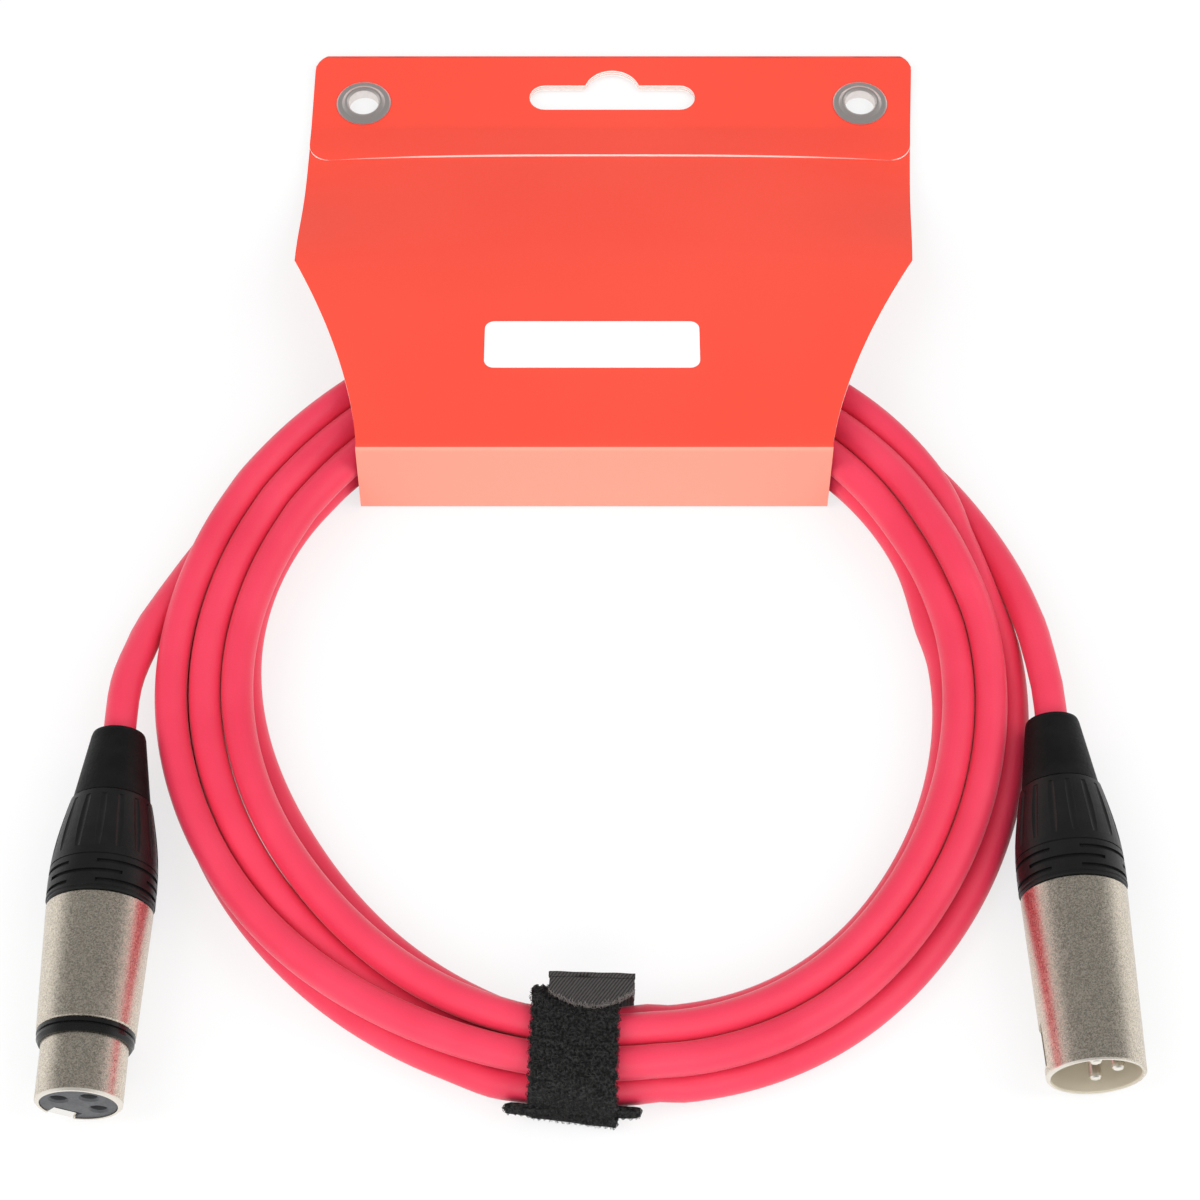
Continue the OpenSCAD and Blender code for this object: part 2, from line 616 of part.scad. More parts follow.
// Middle lines of the sheet in [reach, height]: front panel with the spine, back panel, and the header's three layers
panel_path = [for (i = [0 : panel_steps]) [panel_reach(i), panel_z(panel_reach(i))]];
spine_joint = [spine_reach + card_t, sheet_z];
front_path = concat([[panel_end_reach, panel_end_z]], panel_path, [[spine_reach, sheet_z], spine_joint]);
back_path = [spine_joint, [joggle_reach, sheet_z], [joggle_reach + 6, header_z], [panel_end_reach, header_z]];
fold_path = concat(
    [[header_reach - 1, header_z]],
    [for (i = [0 : corner_steps]) let (a = -90 + 180 * i / corner_steps)
        [fold_reach + fold_r * cos(a), panel_end_z + fold_r * sin(a)]]);
tongue_path = [[panel_end_reach, panel_end_z], [header_reach, panel_end_z], panel_path[1]];
flap_path = concat(
    [[fold_reach, flap_z], [header_reach, flap_z]],
    [for (i = [1 : panel_steps]) if (panel_reach(i) > flap_reach + 1)
        [panel_reach(i), panel_z(panel_reach(i)) + sheet_pitch]],
    [[flap_reach, panel_z(flap_reach) + sheet_pitch]]);

// A bent sheet standing on its middle line, as wide as the card and more
module bent_sheet(path, t, from = 0) {
    translate([-card_top_w, 0, 0]) rotate([90, 0, 90]) linear_extrude(2 * card_top_w)
        polygon(concat(sheet_side(path, from), reversed(sheet_side(path, from + t))));
}
module header_holes() {
    middle = card_middle(slot_reach);
    translate([middle, slot_reach]) {
        square([slot_w - slot_h, slot_h], center = true);
        for (s = [-1, 1]) translate([s * (slot_w - slot_h) / 2, 0]) circle(d = slot_h);
        intersection() {
            translate([0, slot_h / 2 + slot_bump_h - slot_bump_w / 2]) circle(d = slot_bump_w);
            translate([-slot_bump_w / 2, 0]) square([slot_bump_w, slot_h + slot_bump_h]);
        }
    }
    for (s = [-1, 1]) translate([eyelet_x(s), eyelet_reach]) circle(r = eyelet_hole_d / 2 + eyelet_wall + grip_gap);
}
function eyelet_x(side) = card_middle(eyelet_reach) + side * (card_top_w / 2 - eyelet_inset);

// What of the sheet lies between two reaches, inside an outline given by its right and left side
module card_stretch(path, from, to, right, left) {
    intersection() {
        bent_sheet(path, card_t, -card_t / 2);
        translate([-card_top_w, from, -5]) cube([2 * card_top_w, to - from, 60]);
        translate([0, 0, -5]) linear_extrude(60) polygon(concat(right, reversed(left)));
    }
}
module card_front_panel() {
    color("tomato") at_coil()
        card_stretch(front_path, spine_reach - 5, header_reach, card_side(1), card_side(-1));
}
module card_back_panel() {
    color("tomato") at_coil()
        card_stretch(back_path, spine_reach - 5, header_reach, back_side(1), back_side(-1));
}
module card_header() {
    color("tomato") at_coil() difference() {
        union() {
            for (path = [fold_path, tongue_path])
                card_stretch(path, header_reach, card_reach + 1, card_side(1), card_side(-1));
            card_stretch(flap_path, flap_reach, card_reach + 1, concat(flap_corner(1), top_corner(1)),
                concat(flap_corner(-1), top_corner(-1)));
        }
        translate([0, 0, -1]) linear_extrude(30) header_holes();
    }
}
module eyelet() {
    r0 = eyelet_hole_d / 2;
    r1 = r0 + eyelet_wall;
    rim_r = r0 + 1.1;
    flange_r = eyelet_flange_d / 2;
    top = flap_top + 0.02;
    color("silver") turned([[r0 + 0.25, 0], [r1 + 1.1, 0], [r1 + 1.3, eyelet_foot_h / 2], [r1 + 1.1, eyelet_foot_h - 0.02],
        [r1, eyelet_foot_h - 0.02], [r1, top], [flange_r - 0.2, top], [flange_r, top + 0.15], [flange_r - 0.3, top + 0.35],
        [rim_r + 0.3, top + 0.4], [rim_r, top + eyelet_rim_h - 0.2], [rim_r - 0.35, top + eyelet_rim_h],
        [r0 + 0.35, top + eyelet_rim_h - 0.05], [r0, top + eyelet_rim_h - 0.4], [r0, 0.25]]);
}
module eyelet_left() { at_coil() translate([eyelet_x(-1), eyelet_reach, 0]) eyelet(); }
module eyelet_right() { at_coil() translate([eyelet_x(1), eyelet_reach, 0]) eyelet(); }
module label() {
    low = [label_x - label_w / 2, label_reach - label_h / 2];
    high = [label_x + label_w / 2, label_reach + label_h / 2];
    color("white") at_coil() intersection() {
        bent_sheet(panel_path, -label_t, -card_t / 2 - label_gap);
        linear_extrude(60) rounded_box(low, high, label_corner_r);
    }
}

// ---- strap ----

// Places a piece drawn in [reach, height] and as wide as the strap
module across_strap(shift = 0) {
    at_coil() rotate([0, 0, strap_angle]) translate([0, shift + strap_w / 2, 0]) rotate([90, 0, 0])
        linear_extrude(strap_w) children();
}
module strap_band() {
    head_from = strap_reach - strap_head_len;
    under_r = strap_hinge_r - strap_t;
    color([0.1, 0.1, 0.1]) {
        across_strap() difference() {
            rounded_box([strap_hinge_r, 0], [strap_reach, strap_band_top], strap_bend_r);
            rounded_box([strap_r_in, strap_t], [strap_r_out, strap_under_top], strap_bend_r);
        }
        across_strap(strap_shift) translate([under_r, strap_t]) square([strap_t + eps, strap_top - strap_t]);
        at_coil() rotate([0, 0, strap_angle]) linear_extrude(strap_t)
            rounded_box([head_from, -strap_w / 2 - strap_ear], [strap_reach, strap_w / 2 + strap_ear], 2);
    }
}
module strap_tab() {
    end_r = 3 * strap_w / 4;
    end = strap_hinge_r + layer_gap + strap_tab_len;
    color([0.2, 0.2, 0.2]) at_coil() rotate([0, 0, strap_angle]) translate([0, strap_shift, strap_band_top + layer_gap])
        linear_extrude(strap_t) intersection() {
            translate([strap_hinge_r + layer_gap, -strap_w / 2]) square([strap_tab_len, strap_w]);
            translate([end - end_r, 0]) circle(end_r);
        }
}

cable_coil();
cable_tail_female();
cable_tail_male();
cable_end_female();
cable_end_male();
female_conductors();
male_conductors();
female_shell();
female_insert();
female_sockets();
female_latch();
female_latch_spring();
female_ring();
female_chuck();
female_relief();
female_nut();
male_shell();
male_insert();
male_pins();
male_chuck();
male_relief();
male_nut();
card_front_panel();
card_back_panel();
card_header();
eyelet_left();
eyelet_right();
label();
strap_band();
strap_tab();
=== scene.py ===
# %% [markdown]
# # A coiled microphone cable on its hang card
# A microphone cable is sold wound into a flat coil. A strap ties the coil at the front, and a folded card
# hangs it from a hook. This lesson dresses the solids of that object: they already have their true sizes and
# joints, and they only lack their looks. It starts by loading them.

# %% Load the solids
import math
import random

import bmesh
import bpy
import numpy as np
from mathutils import Matrix, Vector


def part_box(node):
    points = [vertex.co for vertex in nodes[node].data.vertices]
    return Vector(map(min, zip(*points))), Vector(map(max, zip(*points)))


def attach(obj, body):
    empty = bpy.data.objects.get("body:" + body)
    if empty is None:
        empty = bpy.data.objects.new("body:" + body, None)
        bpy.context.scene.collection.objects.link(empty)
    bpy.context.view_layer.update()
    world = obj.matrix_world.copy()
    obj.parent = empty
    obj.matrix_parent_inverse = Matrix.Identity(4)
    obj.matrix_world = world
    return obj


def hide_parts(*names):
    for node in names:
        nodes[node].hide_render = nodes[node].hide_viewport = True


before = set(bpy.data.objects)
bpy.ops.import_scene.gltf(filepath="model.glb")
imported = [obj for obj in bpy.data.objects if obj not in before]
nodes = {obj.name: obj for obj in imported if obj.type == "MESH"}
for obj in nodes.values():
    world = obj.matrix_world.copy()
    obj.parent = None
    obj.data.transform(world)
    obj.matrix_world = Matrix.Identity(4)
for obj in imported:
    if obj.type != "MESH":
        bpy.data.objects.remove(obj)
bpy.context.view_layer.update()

# %% [markdown]
# ## Measures
# The solids say where everything is, so most measures are read from them instead of being typed again.
# Lengths are in metres. A reach is a distance from the middle of the coil towards the card's hanging edge,
# and a station is a distance along a connector, counted from the cable end of its boot.

# %% Measures read from the solids
MM = 0.001
coil_low, coil_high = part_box("cable_coil")
COIL_X = (coil_low.x + coil_high.x) / 2
COIL_Y = (coil_low.y + coil_high.y) / 2
LAYERS = 2
CABLE_D = (coil_high.z - coil_low.z) / LAYERS
AXIS_Z = sum(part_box("male_nut")[end].z for end in (0, 1)) / 2
print("cable diameter in mm:", round(CABLE_D / MM, 2), "connectors' axes at:", round(AXIS_Z / MM, 2))

# %% Where the two connectors lie
BOOT_END = {"female": (-89.3, -13.3), "male": (88.4, -10.4)}  # of each boot, in mm from the coil's middle
TURN = {"female": math.radians(-1.0), "male": math.radians(2.1)}  # of each connector, seen from above


def connector_place(side):
    """Turns a piece drawn along +Z, from station 0, onto the axis of the female or the male connector."""
    x, y = BOOT_END[side]
    move = Matrix.Translation((COIL_X + x * MM, COIL_Y + y * MM, AXIS_Z))
    return move @ Matrix.Rotation(TURN[side], 4, "Z") @ Matrix.Rotation(math.pi / 2, 4, "X")


PLACE = {side: connector_place(side) for side in ("female", "male")}
for side, place in PLACE.items():
    print("the", side, "boot ends at, in mm:", [round(v / MM, 1) for v in place.translation])

# %% [markdown]
# ## Camera
# A long lens from well above the front edge keeps the coil round and the card upright. A short lens close by
# would fill the frame as well, but it would make the near connectors larger than the far card.

# %% Camera
VIEW_RISE = math.radians(60)
VIEW_DISTANCE = 0.590
VIEW_MIDDLE = Vector((0.0022, -0.014, 0.0))
LENS, SENSOR = 88.8, 36.0  # in millimetres: the object then fills a square frame
camera_data = bpy.data.cameras.new("camera")
camera_data.sensor_width = SENSOR
camera_data.lens = LENS
camera = bpy.data.objects.new("camera", camera_data)
bpy.context.scene.collection.objects.link(camera)
camera.location = VIEW_MIDDLE + VIEW_DISTANCE * Vector((0, -math.cos(VIEW_RISE), math.sin(VIEW_RISE)))
camera.rotation_euler = (math.pi / 2 - VIEW_RISE, 0, 0)
bpy.context.scene.camera = camera
print("camera at, in m:", [round(v, 3) for v in camera.location])

# %% [markdown]
# ## Node groups
# Real surfaces are never one flat colour. Grain, speckle and soft blotches come back in many finishes. They
# could be built anew in each material, but each is a node group instead: a small machine with named inputs,
# made once and placed in every material with its own values.

# %% A helper for node groups
def new_group(name, inputs, outputs):
    """Makes an empty shader group. Inputs are (name, default) pairs, and outputs are names."""
    group = bpy.data.node_groups.new(name, "ShaderNodeTree")
    for label, value in inputs:
        socket = group.interface.new_socket(label, in_out="INPUT", socket_type="NodeSocketFloat")
        socket.default_value = value
    for label in outputs:
        group.interface.new_socket(label, in_out="OUTPUT", socket_type="NodeSocketFloat")
    start = group.nodes.new("NodeGroupInput")
    end = group.nodes.new("NodeGroupOutput")
    place = group.nodes.new("ShaderNodeTexCoord")
    return group, start, end, place


def wire(tree, source, target):
    tree.links.new(source, target)


# %% Grain, blotches and speckle
def noise_group(name, detail, roughness):
    """Soft noise on the piece itself, between 0 and 1."""
    group, start, end, place = new_group(name, [("Scale", 800.0), ("Low", 0.35), ("High", 0.65)], ["Value"])
    noise = group.nodes.new("ShaderNodeTexNoise")
    noise.inputs["Detail"].default_value = detail
    noise.inputs["Roughness"].default_value = roughness
    spread = group.nodes.new("ShaderNodeMapRange")
    wire(group, place.outputs["Object"], noise.inputs["Vector"])
    wire(group, start.outputs["Scale"], noise.inputs["Scale"])
    wire(group, noise.outputs["Fac"], spread.inputs["Value"])
    wire(group, start.outputs["Low"], spread.inputs["From Min"])
    wire(group, start.outputs["High"], spread.inputs["From Max"])
    wire(group, spread.outputs["Result"], end.inputs["Value"])
    return group


def speckle_group():
    """Small cells of random brightness, as on a surface blasted with fine beads."""
    group, start, end, place = new_group("speckle", [("Scale", 4000.0)], ["Value"])
    cells = group.nodes.new("ShaderNodeTexVoronoi")
    cells.feature = "F1"
    split = group.nodes.new("ShaderNodeSeparateColor")
    wire(group, place.outputs["Object"], cells.inputs["Vector"])
    wire(group, start.outputs["Scale"], cells.inputs["Scale"])
    wire(group, cells.outputs["Color"], split.inputs["Color"])
    wire(group, split.outputs["Red"], end.inputs["Value"])
    return group


GRAIN = noise_group("grain", 3.0, 0.6)
BLOTCH = noise_group("blotch", 2.0, 0.5)
SPECKLE = speckle_group()

# %% A band between two places
def band_group():
    """1 between two places along Y, 0 elsewhere, with a soft step at both ends."""
    group, start, end, place = new_group("band", [("From", 0.0), ("To", 1.0), ("Soft", 0.0002)], ["Value"])
    split = group.nodes.new("ShaderNodeSeparateXYZ")
    wire(group, place.outputs["Object"], split.inputs["Vector"])
    masks = []
    for label in ("From", "To"):
        away = group.nodes.new("ShaderNodeMath")
        away.operation = "SUBTRACT"
        wire(group, split.outputs["Y"], away.inputs[0])
        wire(group, start.outputs[label], away.inputs[1])
        share = group.nodes.new("ShaderNodeMath")
        share.operation = "DIVIDE"
        share.use_clamp = True
        wire(group, away.outputs["Value"], share.inputs[0])
        wire(group, start.outputs["Soft"], share.inputs[1])
        masks.append(share)
    both = group.nodes.new("ShaderNodeMath")
    both.operation = "SUBTRACT"
    both.use_clamp = True
    wire(group, masks[0].outputs["Value"], both.inputs[0])
    wire(group, masks[1].outputs["Value"], both.inputs[1])
    wire(group, both.outputs["Value"], end.inputs["Value"])
    return group


BAND = band_group()
print("node groups:", [group.name for group in bpy.data.node_groups])

# %% [markdown]
# ## Materials
# A material here is one Principled shader. Its plain numbers are set on the shader, and only what changes
# over the surface comes in through the groups: the colour, the roughness and the height of a bump.

# %% A helper for materials
class Finish:
    """One material: a Principled shader, and short ways to feed it."""

    def __init__(self, name, colour, roughness, metallic=0.0, **plain):
        self.material = bpy.data.materials.new(name)
        self.material.use_nodes = True
        self.tree = self.material.node_tree
        self.shader = self.tree.nodes["Principled BSDF"]
        self.colour = (*colour, 1.0)
        self.roughness = roughness
        self.shader.inputs["Base Color"].default_value = self.colour
        self.shader.inputs["Roughness"].default_value = roughness
        self.shader.inputs["Metallic"].default_value = metallic
        for label, value in plain.items():
            self.shader.inputs[label.replace("_", " ")].default_value = value
        self.material.diffuse_color = self.colour

    def effect(self, group, **values):
        node = self.tree.nodes.new("ShaderNodeGroup")
        node.node_tree = group
        for label, value in values.items():
            node.inputs[label].default_value = value
        return node.outputs["Value"]

    def mix_colour(self, mask, second, first=None):
        """Mixes from what the colour is now, or a given socket, to a second colour where the mask is 1."""
        mix = self.tree.nodes.new("ShaderNodeMix")
        mix.data_type = "RGBA"
        wire(self.tree, mask, mix.inputs["Factor"])
        if first is None:
            mix.inputs["A"].default_value = self.colour
        else:
            wire(self.tree, first, mix.inputs["A"])
        mix.inputs["B"].default_value = (*second, 1.0)
        wire(self.tree, mix.outputs["Result"], self.shader.inputs["Base Color"])
        return mix.outputs["Result"]

    def vary(self, socket, mask, low, high):
        """Lets a mask move one of the shader's numbers between low and high."""
        spread = self.tree.nodes.new("ShaderNodeMapRange")
        spread.inputs["To Min"].default_value = low
        spread.inputs["To Max"].default_value = high
        wire(self.tree, mask, spread.inputs["Value"])
        wire(self.tree, spread.outputs["Result"], self.shader.inputs[socket])
        return spread.outputs["Result"]

    def bump(self, height, depth, strength=1.0):
        node = self.tree.nodes.new("ShaderNodeBump")
        node.inputs["Strength"].default_value = strength
        node.inputs["Distance"].default_value = depth
        wire(self.tree, height, node.inputs["Height"])
        wire(self.tree, node.outputs["Normal"], self.shader.inputs["Normal"])


# %% [markdown]
# ### Cable jacket
# The jacket is soft rubber with a faint powdery bloom. One flat red would look like wet paint. So the bloom
# is a low sheen, slow noise mixes in a paler red where hands have rubbed it, and a very fine grain breaks the
# gloss.

# %% Cable jacket
jacket = Finish("cable_jacket", (0.72, 0.030, 0.076), 0.46, Sheen_Weight=0.14, Sheen_Roughness=0.4)
bloom = jacket.effect(BLOTCH, Scale=60.0, Low=0.3, High=0.75)
jacket.mix_colour(bloom, (0.78, 0.044, 0.096))
fine = jacket.effect(GRAIN, Scale=2600.0)
jacket.vary("Roughness", fine, 0.40, 0.52)
jacket.bump(fine, 0.00002, 0.5)
print("jacket colour:", [round(v, 3) for v in jacket.colour[:3]])

# %% [markdown]
# ### Nickel
# The shells are cast, blasted with fine beads and nickel plated, so they sparkle in tiny cells. Real dents
# would need millions of faces, so random cells change the colour and the roughness instead. The latch, the
# eyelets and the rims are the same metal, but polished.

# %% Nickel finishes
def bead_blasted(name, bright_from, bright_to):
    """Blasted nickel that is polished between two places along Y."""
    finish = Finish(name, (0.44, 0.40, 0.33), 0.36, metallic=1.0)
    cells = finish.effect(SPECKLE, Scale=5200.0)
    tone = finish.mix_colour(cells, (0.90, 0.81, 0.69))
    rim = finish.effect(BAND, From=bright_from, To=bright_to, Soft=0.00015)
    finish.mix_colour(rim, (0.82, 0.77, 0.69), first=tone)
    finish.vary("Roughness", cells, 0.27, 0.44)
    finish.bump(finish.effect(GRAIN, Scale=4200.0), 0.00002, 0.25)
    return finish


def polished(name, colour, roughness):
    finish = Finish(name, colour, roughness, metallic=1.0)
    fine = finish.effect(GRAIN, Scale=1500.0)
    finish.vary("Roughness", fine, roughness * 0.8, roughness * 1.3)
    finish.bump(finish.effect(BLOTCH, Scale=300.0), 0.00002, 0.3)
    return finish


RIM_OUT, RIM_BACK = 1.0 * MM, 0.5 * MM  # the polished rim, before and behind the edge of a shell's mouth
shell_finish = {}
for side in ("female", "male"):
    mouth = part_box(side + "_shell")[0].y
    shell_finish[side] = bead_blasted(side + "_nickel", mouth - RIM_OUT, mouth + RIM_BACK)
# Inside the male mouth the plating is a dull beige: a painted reflection of the beige insert.
mouth_reflection_nickel = Finish("mouth_reflection_nickel", (0.62, 0.56, 0.44), 0.55, metallic=0.25)
mouth_reflection_nickel.bump(mouth_reflection_nickel.effect(GRAIN, Scale=2600.0), 0.00002, 0.4)
bright_nickel = polished("bright_nickel", (0.86, 0.84, 0.80), 0.16)
eyelet_nickel = polished("eyelet_nickel", (0.86, 0.80, 0.77), 0.38)
gold = polished("contact_gold", (0.86, 0.66, 0.30), 0.24)
silver = polished("contact_silver", (0.88, 0.84, 0.77), 0.34)
spring_steel = polished("spring_steel", (0.5, 0.5, 0.52), 0.3)
metals = (mouth_reflection_nickel, bright_nickel, eyelet_nickel, gold, silver, spring_steel)
print("metals besides the shells:", [metal.material.name for metal in metals])

# %% [markdown]
# ### Plastics and rubber
# The nuts are glass-filled plastic with a dull shine, the boots are matt rubber, and the contact carriers are
# plain mouldings. They differ only in a few numbers, so one function makes them all: each has its own grain,
# and slightly paler blotches for dust.

# %% Plastics and rubber
def moulded(name, colour, pale, roughness, grain_scale, depth, **plain):
    finish = Finish(name, colour, roughness, **plain)
    dust = finish.effect(BLOTCH, Scale=220.0, Low=0.42, High=0.8)
    finish.mix_colour(dust, pale)
    grain = finish.effect(GRAIN, Scale=grain_scale)
    finish.vary("Roughness", grain, roughness - 0.06, roughness + 0.08)
    finish.bump(grain, depth, 0.5)
    return finish


boot_rubber = moulded("boot_rubber", (0.006, 0.006, 0.006), (0.010, 0.010, 0.010), 0.5, 1800.0, 0.00003,
                      Specular_IOR_Level=0.12)
nut_plastic = moulded("nut_plastic", (0.007, 0.007, 0.007), (0.010, 0.010, 0.010), 0.36, 2600.0, 0.00002,
                      Specular_IOR_Level=0.25)
ring_rubber = moulded("ring_rubber", (0.004, 0.004, 0.004), (0.006, 0.006, 0.006), 0.26, 2600.0, 0.00001,
                      Specular_IOR_Level=0.4)
insert_grey = moulded("insert_grey", (0.060, 0.062, 0.066), (0.085, 0.087, 0.09), 0.5, 2200.0, 0.00002)
insert_beige = moulded("insert_beige", (0.44, 0.37, 0.27), (0.50, 0.43, 0.32), 0.5, 2200.0, 0.00002)
chuck_plastic = moulded("chuck_plastic", (0.70, 0.70, 0.67), (0.62, 0.62, 0.59), 0.45, 1500.0, 0.00002)
core_rubber = moulded("core_rubber", (0.72, 0.72, 0.70), (0.60, 0.60, 0.58), 0.4, 1500.0, 0.00001)
print("materials so far:", len(bpy.data.materials))

# %% [markdown]
# ### Card and label
# The card is white board with a flat red print. A cut edge shows the white board, so the print and the board
# are two materials on one sheet. Print has a faint tooth and slow changes of tone. The spine stands towards
# the light and looks paler, and a soft band across the print gives it that. The label is smooth paper.

# %% Card and label
print_red = Finish("card_print", (0.83, 0.070, 0.043), 0.5, Specular_IOR_Level=0.22)
tone = print_red.effect(BLOTCH, Scale=14.0, Low=0.3, High=0.75)
printed = print_red.mix_colour(tone, (0.88, 0.084, 0.052))
SPINE_DEPTH = 2.4 * MM  # how far back the leaning spine reaches, up to the crease
spine_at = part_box("card_front_panel")[0].y
spine_glare = print_red.effect(BAND, From=spine_at - MM, To=spine_at + SPINE_DEPTH, Soft=0.0001)
print_red.mix_colour(spine_glare, (0.95, 0.34, 0.25), first=printed)
tooth = print_red.effect(GRAIN, Scale=2200.0)
print_red.vary("Roughness", tooth, 0.44, 0.58)
print_red.bump(tooth, 0.000012, 0.6)

board = Finish("card_board", (0.86, 0.80, 0.74), 0.7)
fibre = board.effect(GRAIN, Scale=3000.0)
board.mix_colour(fibre, (0.93, 0.88, 0.83))
board.bump(fibre, 0.00003, 0.6)

label_paper = Finish("label_paper", (0.86, 0.86, 0.86), 0.42)
paper = label_paper.effect(GRAIN, Scale=1600.0)
label_paper.mix_colour(paper, (0.92, 0.92, 0.92))
label_paper.bump(paper, 0.000008, 0.5)
print("spine from, in mm:", round(spine_at / MM, 1), "to", round((spine_at + SPINE_DEPTH) / MM, 1))

# %% [markdown]
# ### Strap
# The strap is a loop pile on a woven back. The pile is made of real fibres further on, because a bump alone
# leaves a hard outline. This material gives them their black, and paler tufts in it and some grey fibres
# between are painted highlights, for the glints on the loops. The woven side has fine slanted threads, which a
# wave texture draws.

# %% Strap finishes
pile = Finish("strap_pile", (0.006, 0.006, 0.006), 0.75, Specular_IOR_Level=0.2)
# painted highlights: paler grey patches on the black pile stand in for glints on the loops; the same mask bumps
# the tufts
tufts_and_highlights = pile.effect(GRAIN, Scale=1900.0, Low=0.42, High=0.68)
pile.mix_colour(tufts_and_highlights, (0.044, 0.043, 0.042))
pile.bump(tufts_and_highlights, 0.0002, 0.8)
# painted highlight: the grey of some pile fibres stands in for glints on the loops
pile_highlight_grey = Finish("strap_pile_grey", (0.045, 0.044, 0.043), 0.6)
thread_grey = Finish("strap_thread", (0.20, 0.175, 0.165), 0.65, Sheen_Weight=0.2)


def slanted_threads(finish, scale, angle):
    """Waves across the piece, turned by an angle, for the ribs of a twill weave."""
    place = finish.tree.nodes.new("ShaderNodeTexCoord")
    turn = finish.tree.nodes.new("ShaderNodeMapping")
    turn.inputs["Rotation"].default_value = (0, 0, angle)
    waves = finish.tree.nodes.new("ShaderNodeTexWave")
    waves.inputs["Scale"].default_value = scale
    waves.inputs["Distortion"].default_value = 1.5
    waves.inputs["Detail Scale"].default_value = 4.0
    wire(finish.tree, place.outputs["Object"], turn.inputs["Vector"])
    wire(finish.tree, turn.outputs["Vector"], waves.inputs["Vector"])
    return waves.outputs["Fac"]


weave = Finish("strap_weave", (0.012, 0.011, 0.011), 0.7, Sheen_Weight=0.1)
threads = slanted_threads(weave, 620.0, math.radians(38))
weave.mix_colour(threads, (0.062, 0.055, 0.053))
weave.bump(threads, 0.00010, 0.7)
print("materials:", len(bpy.data.materials))

# %% [markdown]
# ## Finishes for the solids that keep their shape
# A solid whose shape is already right only needs its finish. It could be modelled again, but then its joints
# and fits would have to be matched by hand. So its old slots are cleared and the new material goes in.

# %% Dress the solids
def dress(name, finish):
    slots = nodes[name].data.materials
    slots.clear()
    slots.append(finish.material)


kept_shapes = {
    "female_insert": insert_grey, "female_sockets": gold, "female_ring": ring_rubber,
    "female_latch": bright_nickel, "female_latch_spring": spring_steel,
    "male_insert": insert_beige, "male_pins": silver,
    "eyelet_left": eyelet_nickel, "eyelet_right": eyelet_nickel, "label": label_paper,
}
for side in ("female", "male"):
    kept_shapes[side + "_shell"] = shell_finish[side]
    kept_shapes[side + "_conductors"] = core_rubber
    kept_shapes[side + "_chuck"] = chuck_plastic
    kept_shapes[side + "_relief"] = boot_rubber
    kept_shapes[side + "_nut"] = nut_plastic
for name, finish in kept_shapes.items():
    dress(name, finish)
print("solids that keep their shape:", len(kept_shapes))

# %% The inside of the male mouth: plated, not blasted, and its beige is a painted reflection of the insert
MOUTH_R, MOUTH_FROM = 8.3 * MM, 50 * MM  # its faces lie nearer to the axis than this, and beyond this station
mouth_shell = nodes["male_shell"]
mouth_shell.data.materials.append(mouth_reflection_nickel.material)
to_axis = PLACE["male"].inverted() @ mouth_shell.matrix_world
inside = 0
for polygon in mouth_shell.data.polygons:
    spot = to_axis @ polygon.center
    if math.hypot(spot.x, spot.y) < MOUTH_R and spot.z > MOUTH_FROM:
        polygon.material_index = 1
        inside += 1
print("faces inside the male mouth:", inside)

# %% [markdown]
# ## The cable
# The cable is one line from the female connector to the male one. It enters the bundle at the left, goes
# round five times and leaves at the right. An even spiral would be easy to draw, but a coil wound by hand
# isn't even: its strands swap places. At the front three lie on the floor and two in the grooves between
# them. At the left and at the right three lie on top, and they lean inwards over the two on the floor. Under
# the card the bundle rolls by one place, so that floor strands climb at the inside and top strands drop at
# the outside.
#
# A cord simulation could wind it, but it would never give this very coil. So each turn is planned as a few
# places in the bundle's section, and the plan is settled afterwards.

# %% Routes of the two loose ends, and a curve through points
# Their points are in millimetres from the coil's middle, and start at the connectors.
FEMALE_ROUTE = [
    (-89.16, -5.3, 10.05), (-88.5, 0.5, 9.6), (-87, 6.5, 8.7), (-85.1, 13, 7.5), (-82.4, 19.5, 6.3),
    (-79.2, 25.8, 5.3), (-75.9, 31.9, 4.7), (-72.3, 38.4, 4.6), (-68.1, 45.4, 4.6), (-62.9, 52.3, 4.6),
]
MALE_ROUTE = [
    (88.1, -2.4, 10.05), (87.5, 4, 9.5), (86, 12, 8.7), (83.7, 20.5, 7.7), (80.5, 29, 6.6),
    (76.4, 37.5, 5.5), (71.3, 45.6, 4.8), (65.3, 52.6, 4.5), (58.7, 58.6, 4.6), (51.6, 63.8, 4.6),
]


def curve_through(points, pieces):
    """A smooth curve through points, with some pieces between each two (a Catmull-Rom curve)."""
    points = np.array(points, float)
    before = np.vstack([2 * points[:1] - points[1:2], points[:-1]])
    after = np.vstack([points[1:], 2 * points[-1:] - points[-2:-1]])
    line = []
    for i in range(len(points) - 1):
        pull_a = (after[i] - before[i]) / 2
        pull_b = (after[i + 1] - before[i + 1]) / 2
        for t in np.arange(pieces) / pieces:
            line.append((2 * t**3 - 3 * t**2 + 1) * points[i] + (t**3 - 2 * t**2 + t) * pull_a
                        + (3 * t**2 - 2 * t**3) * points[i + 1] + (t**3 - t**2) * pull_b)
    return np.array(line + [points[-1]])


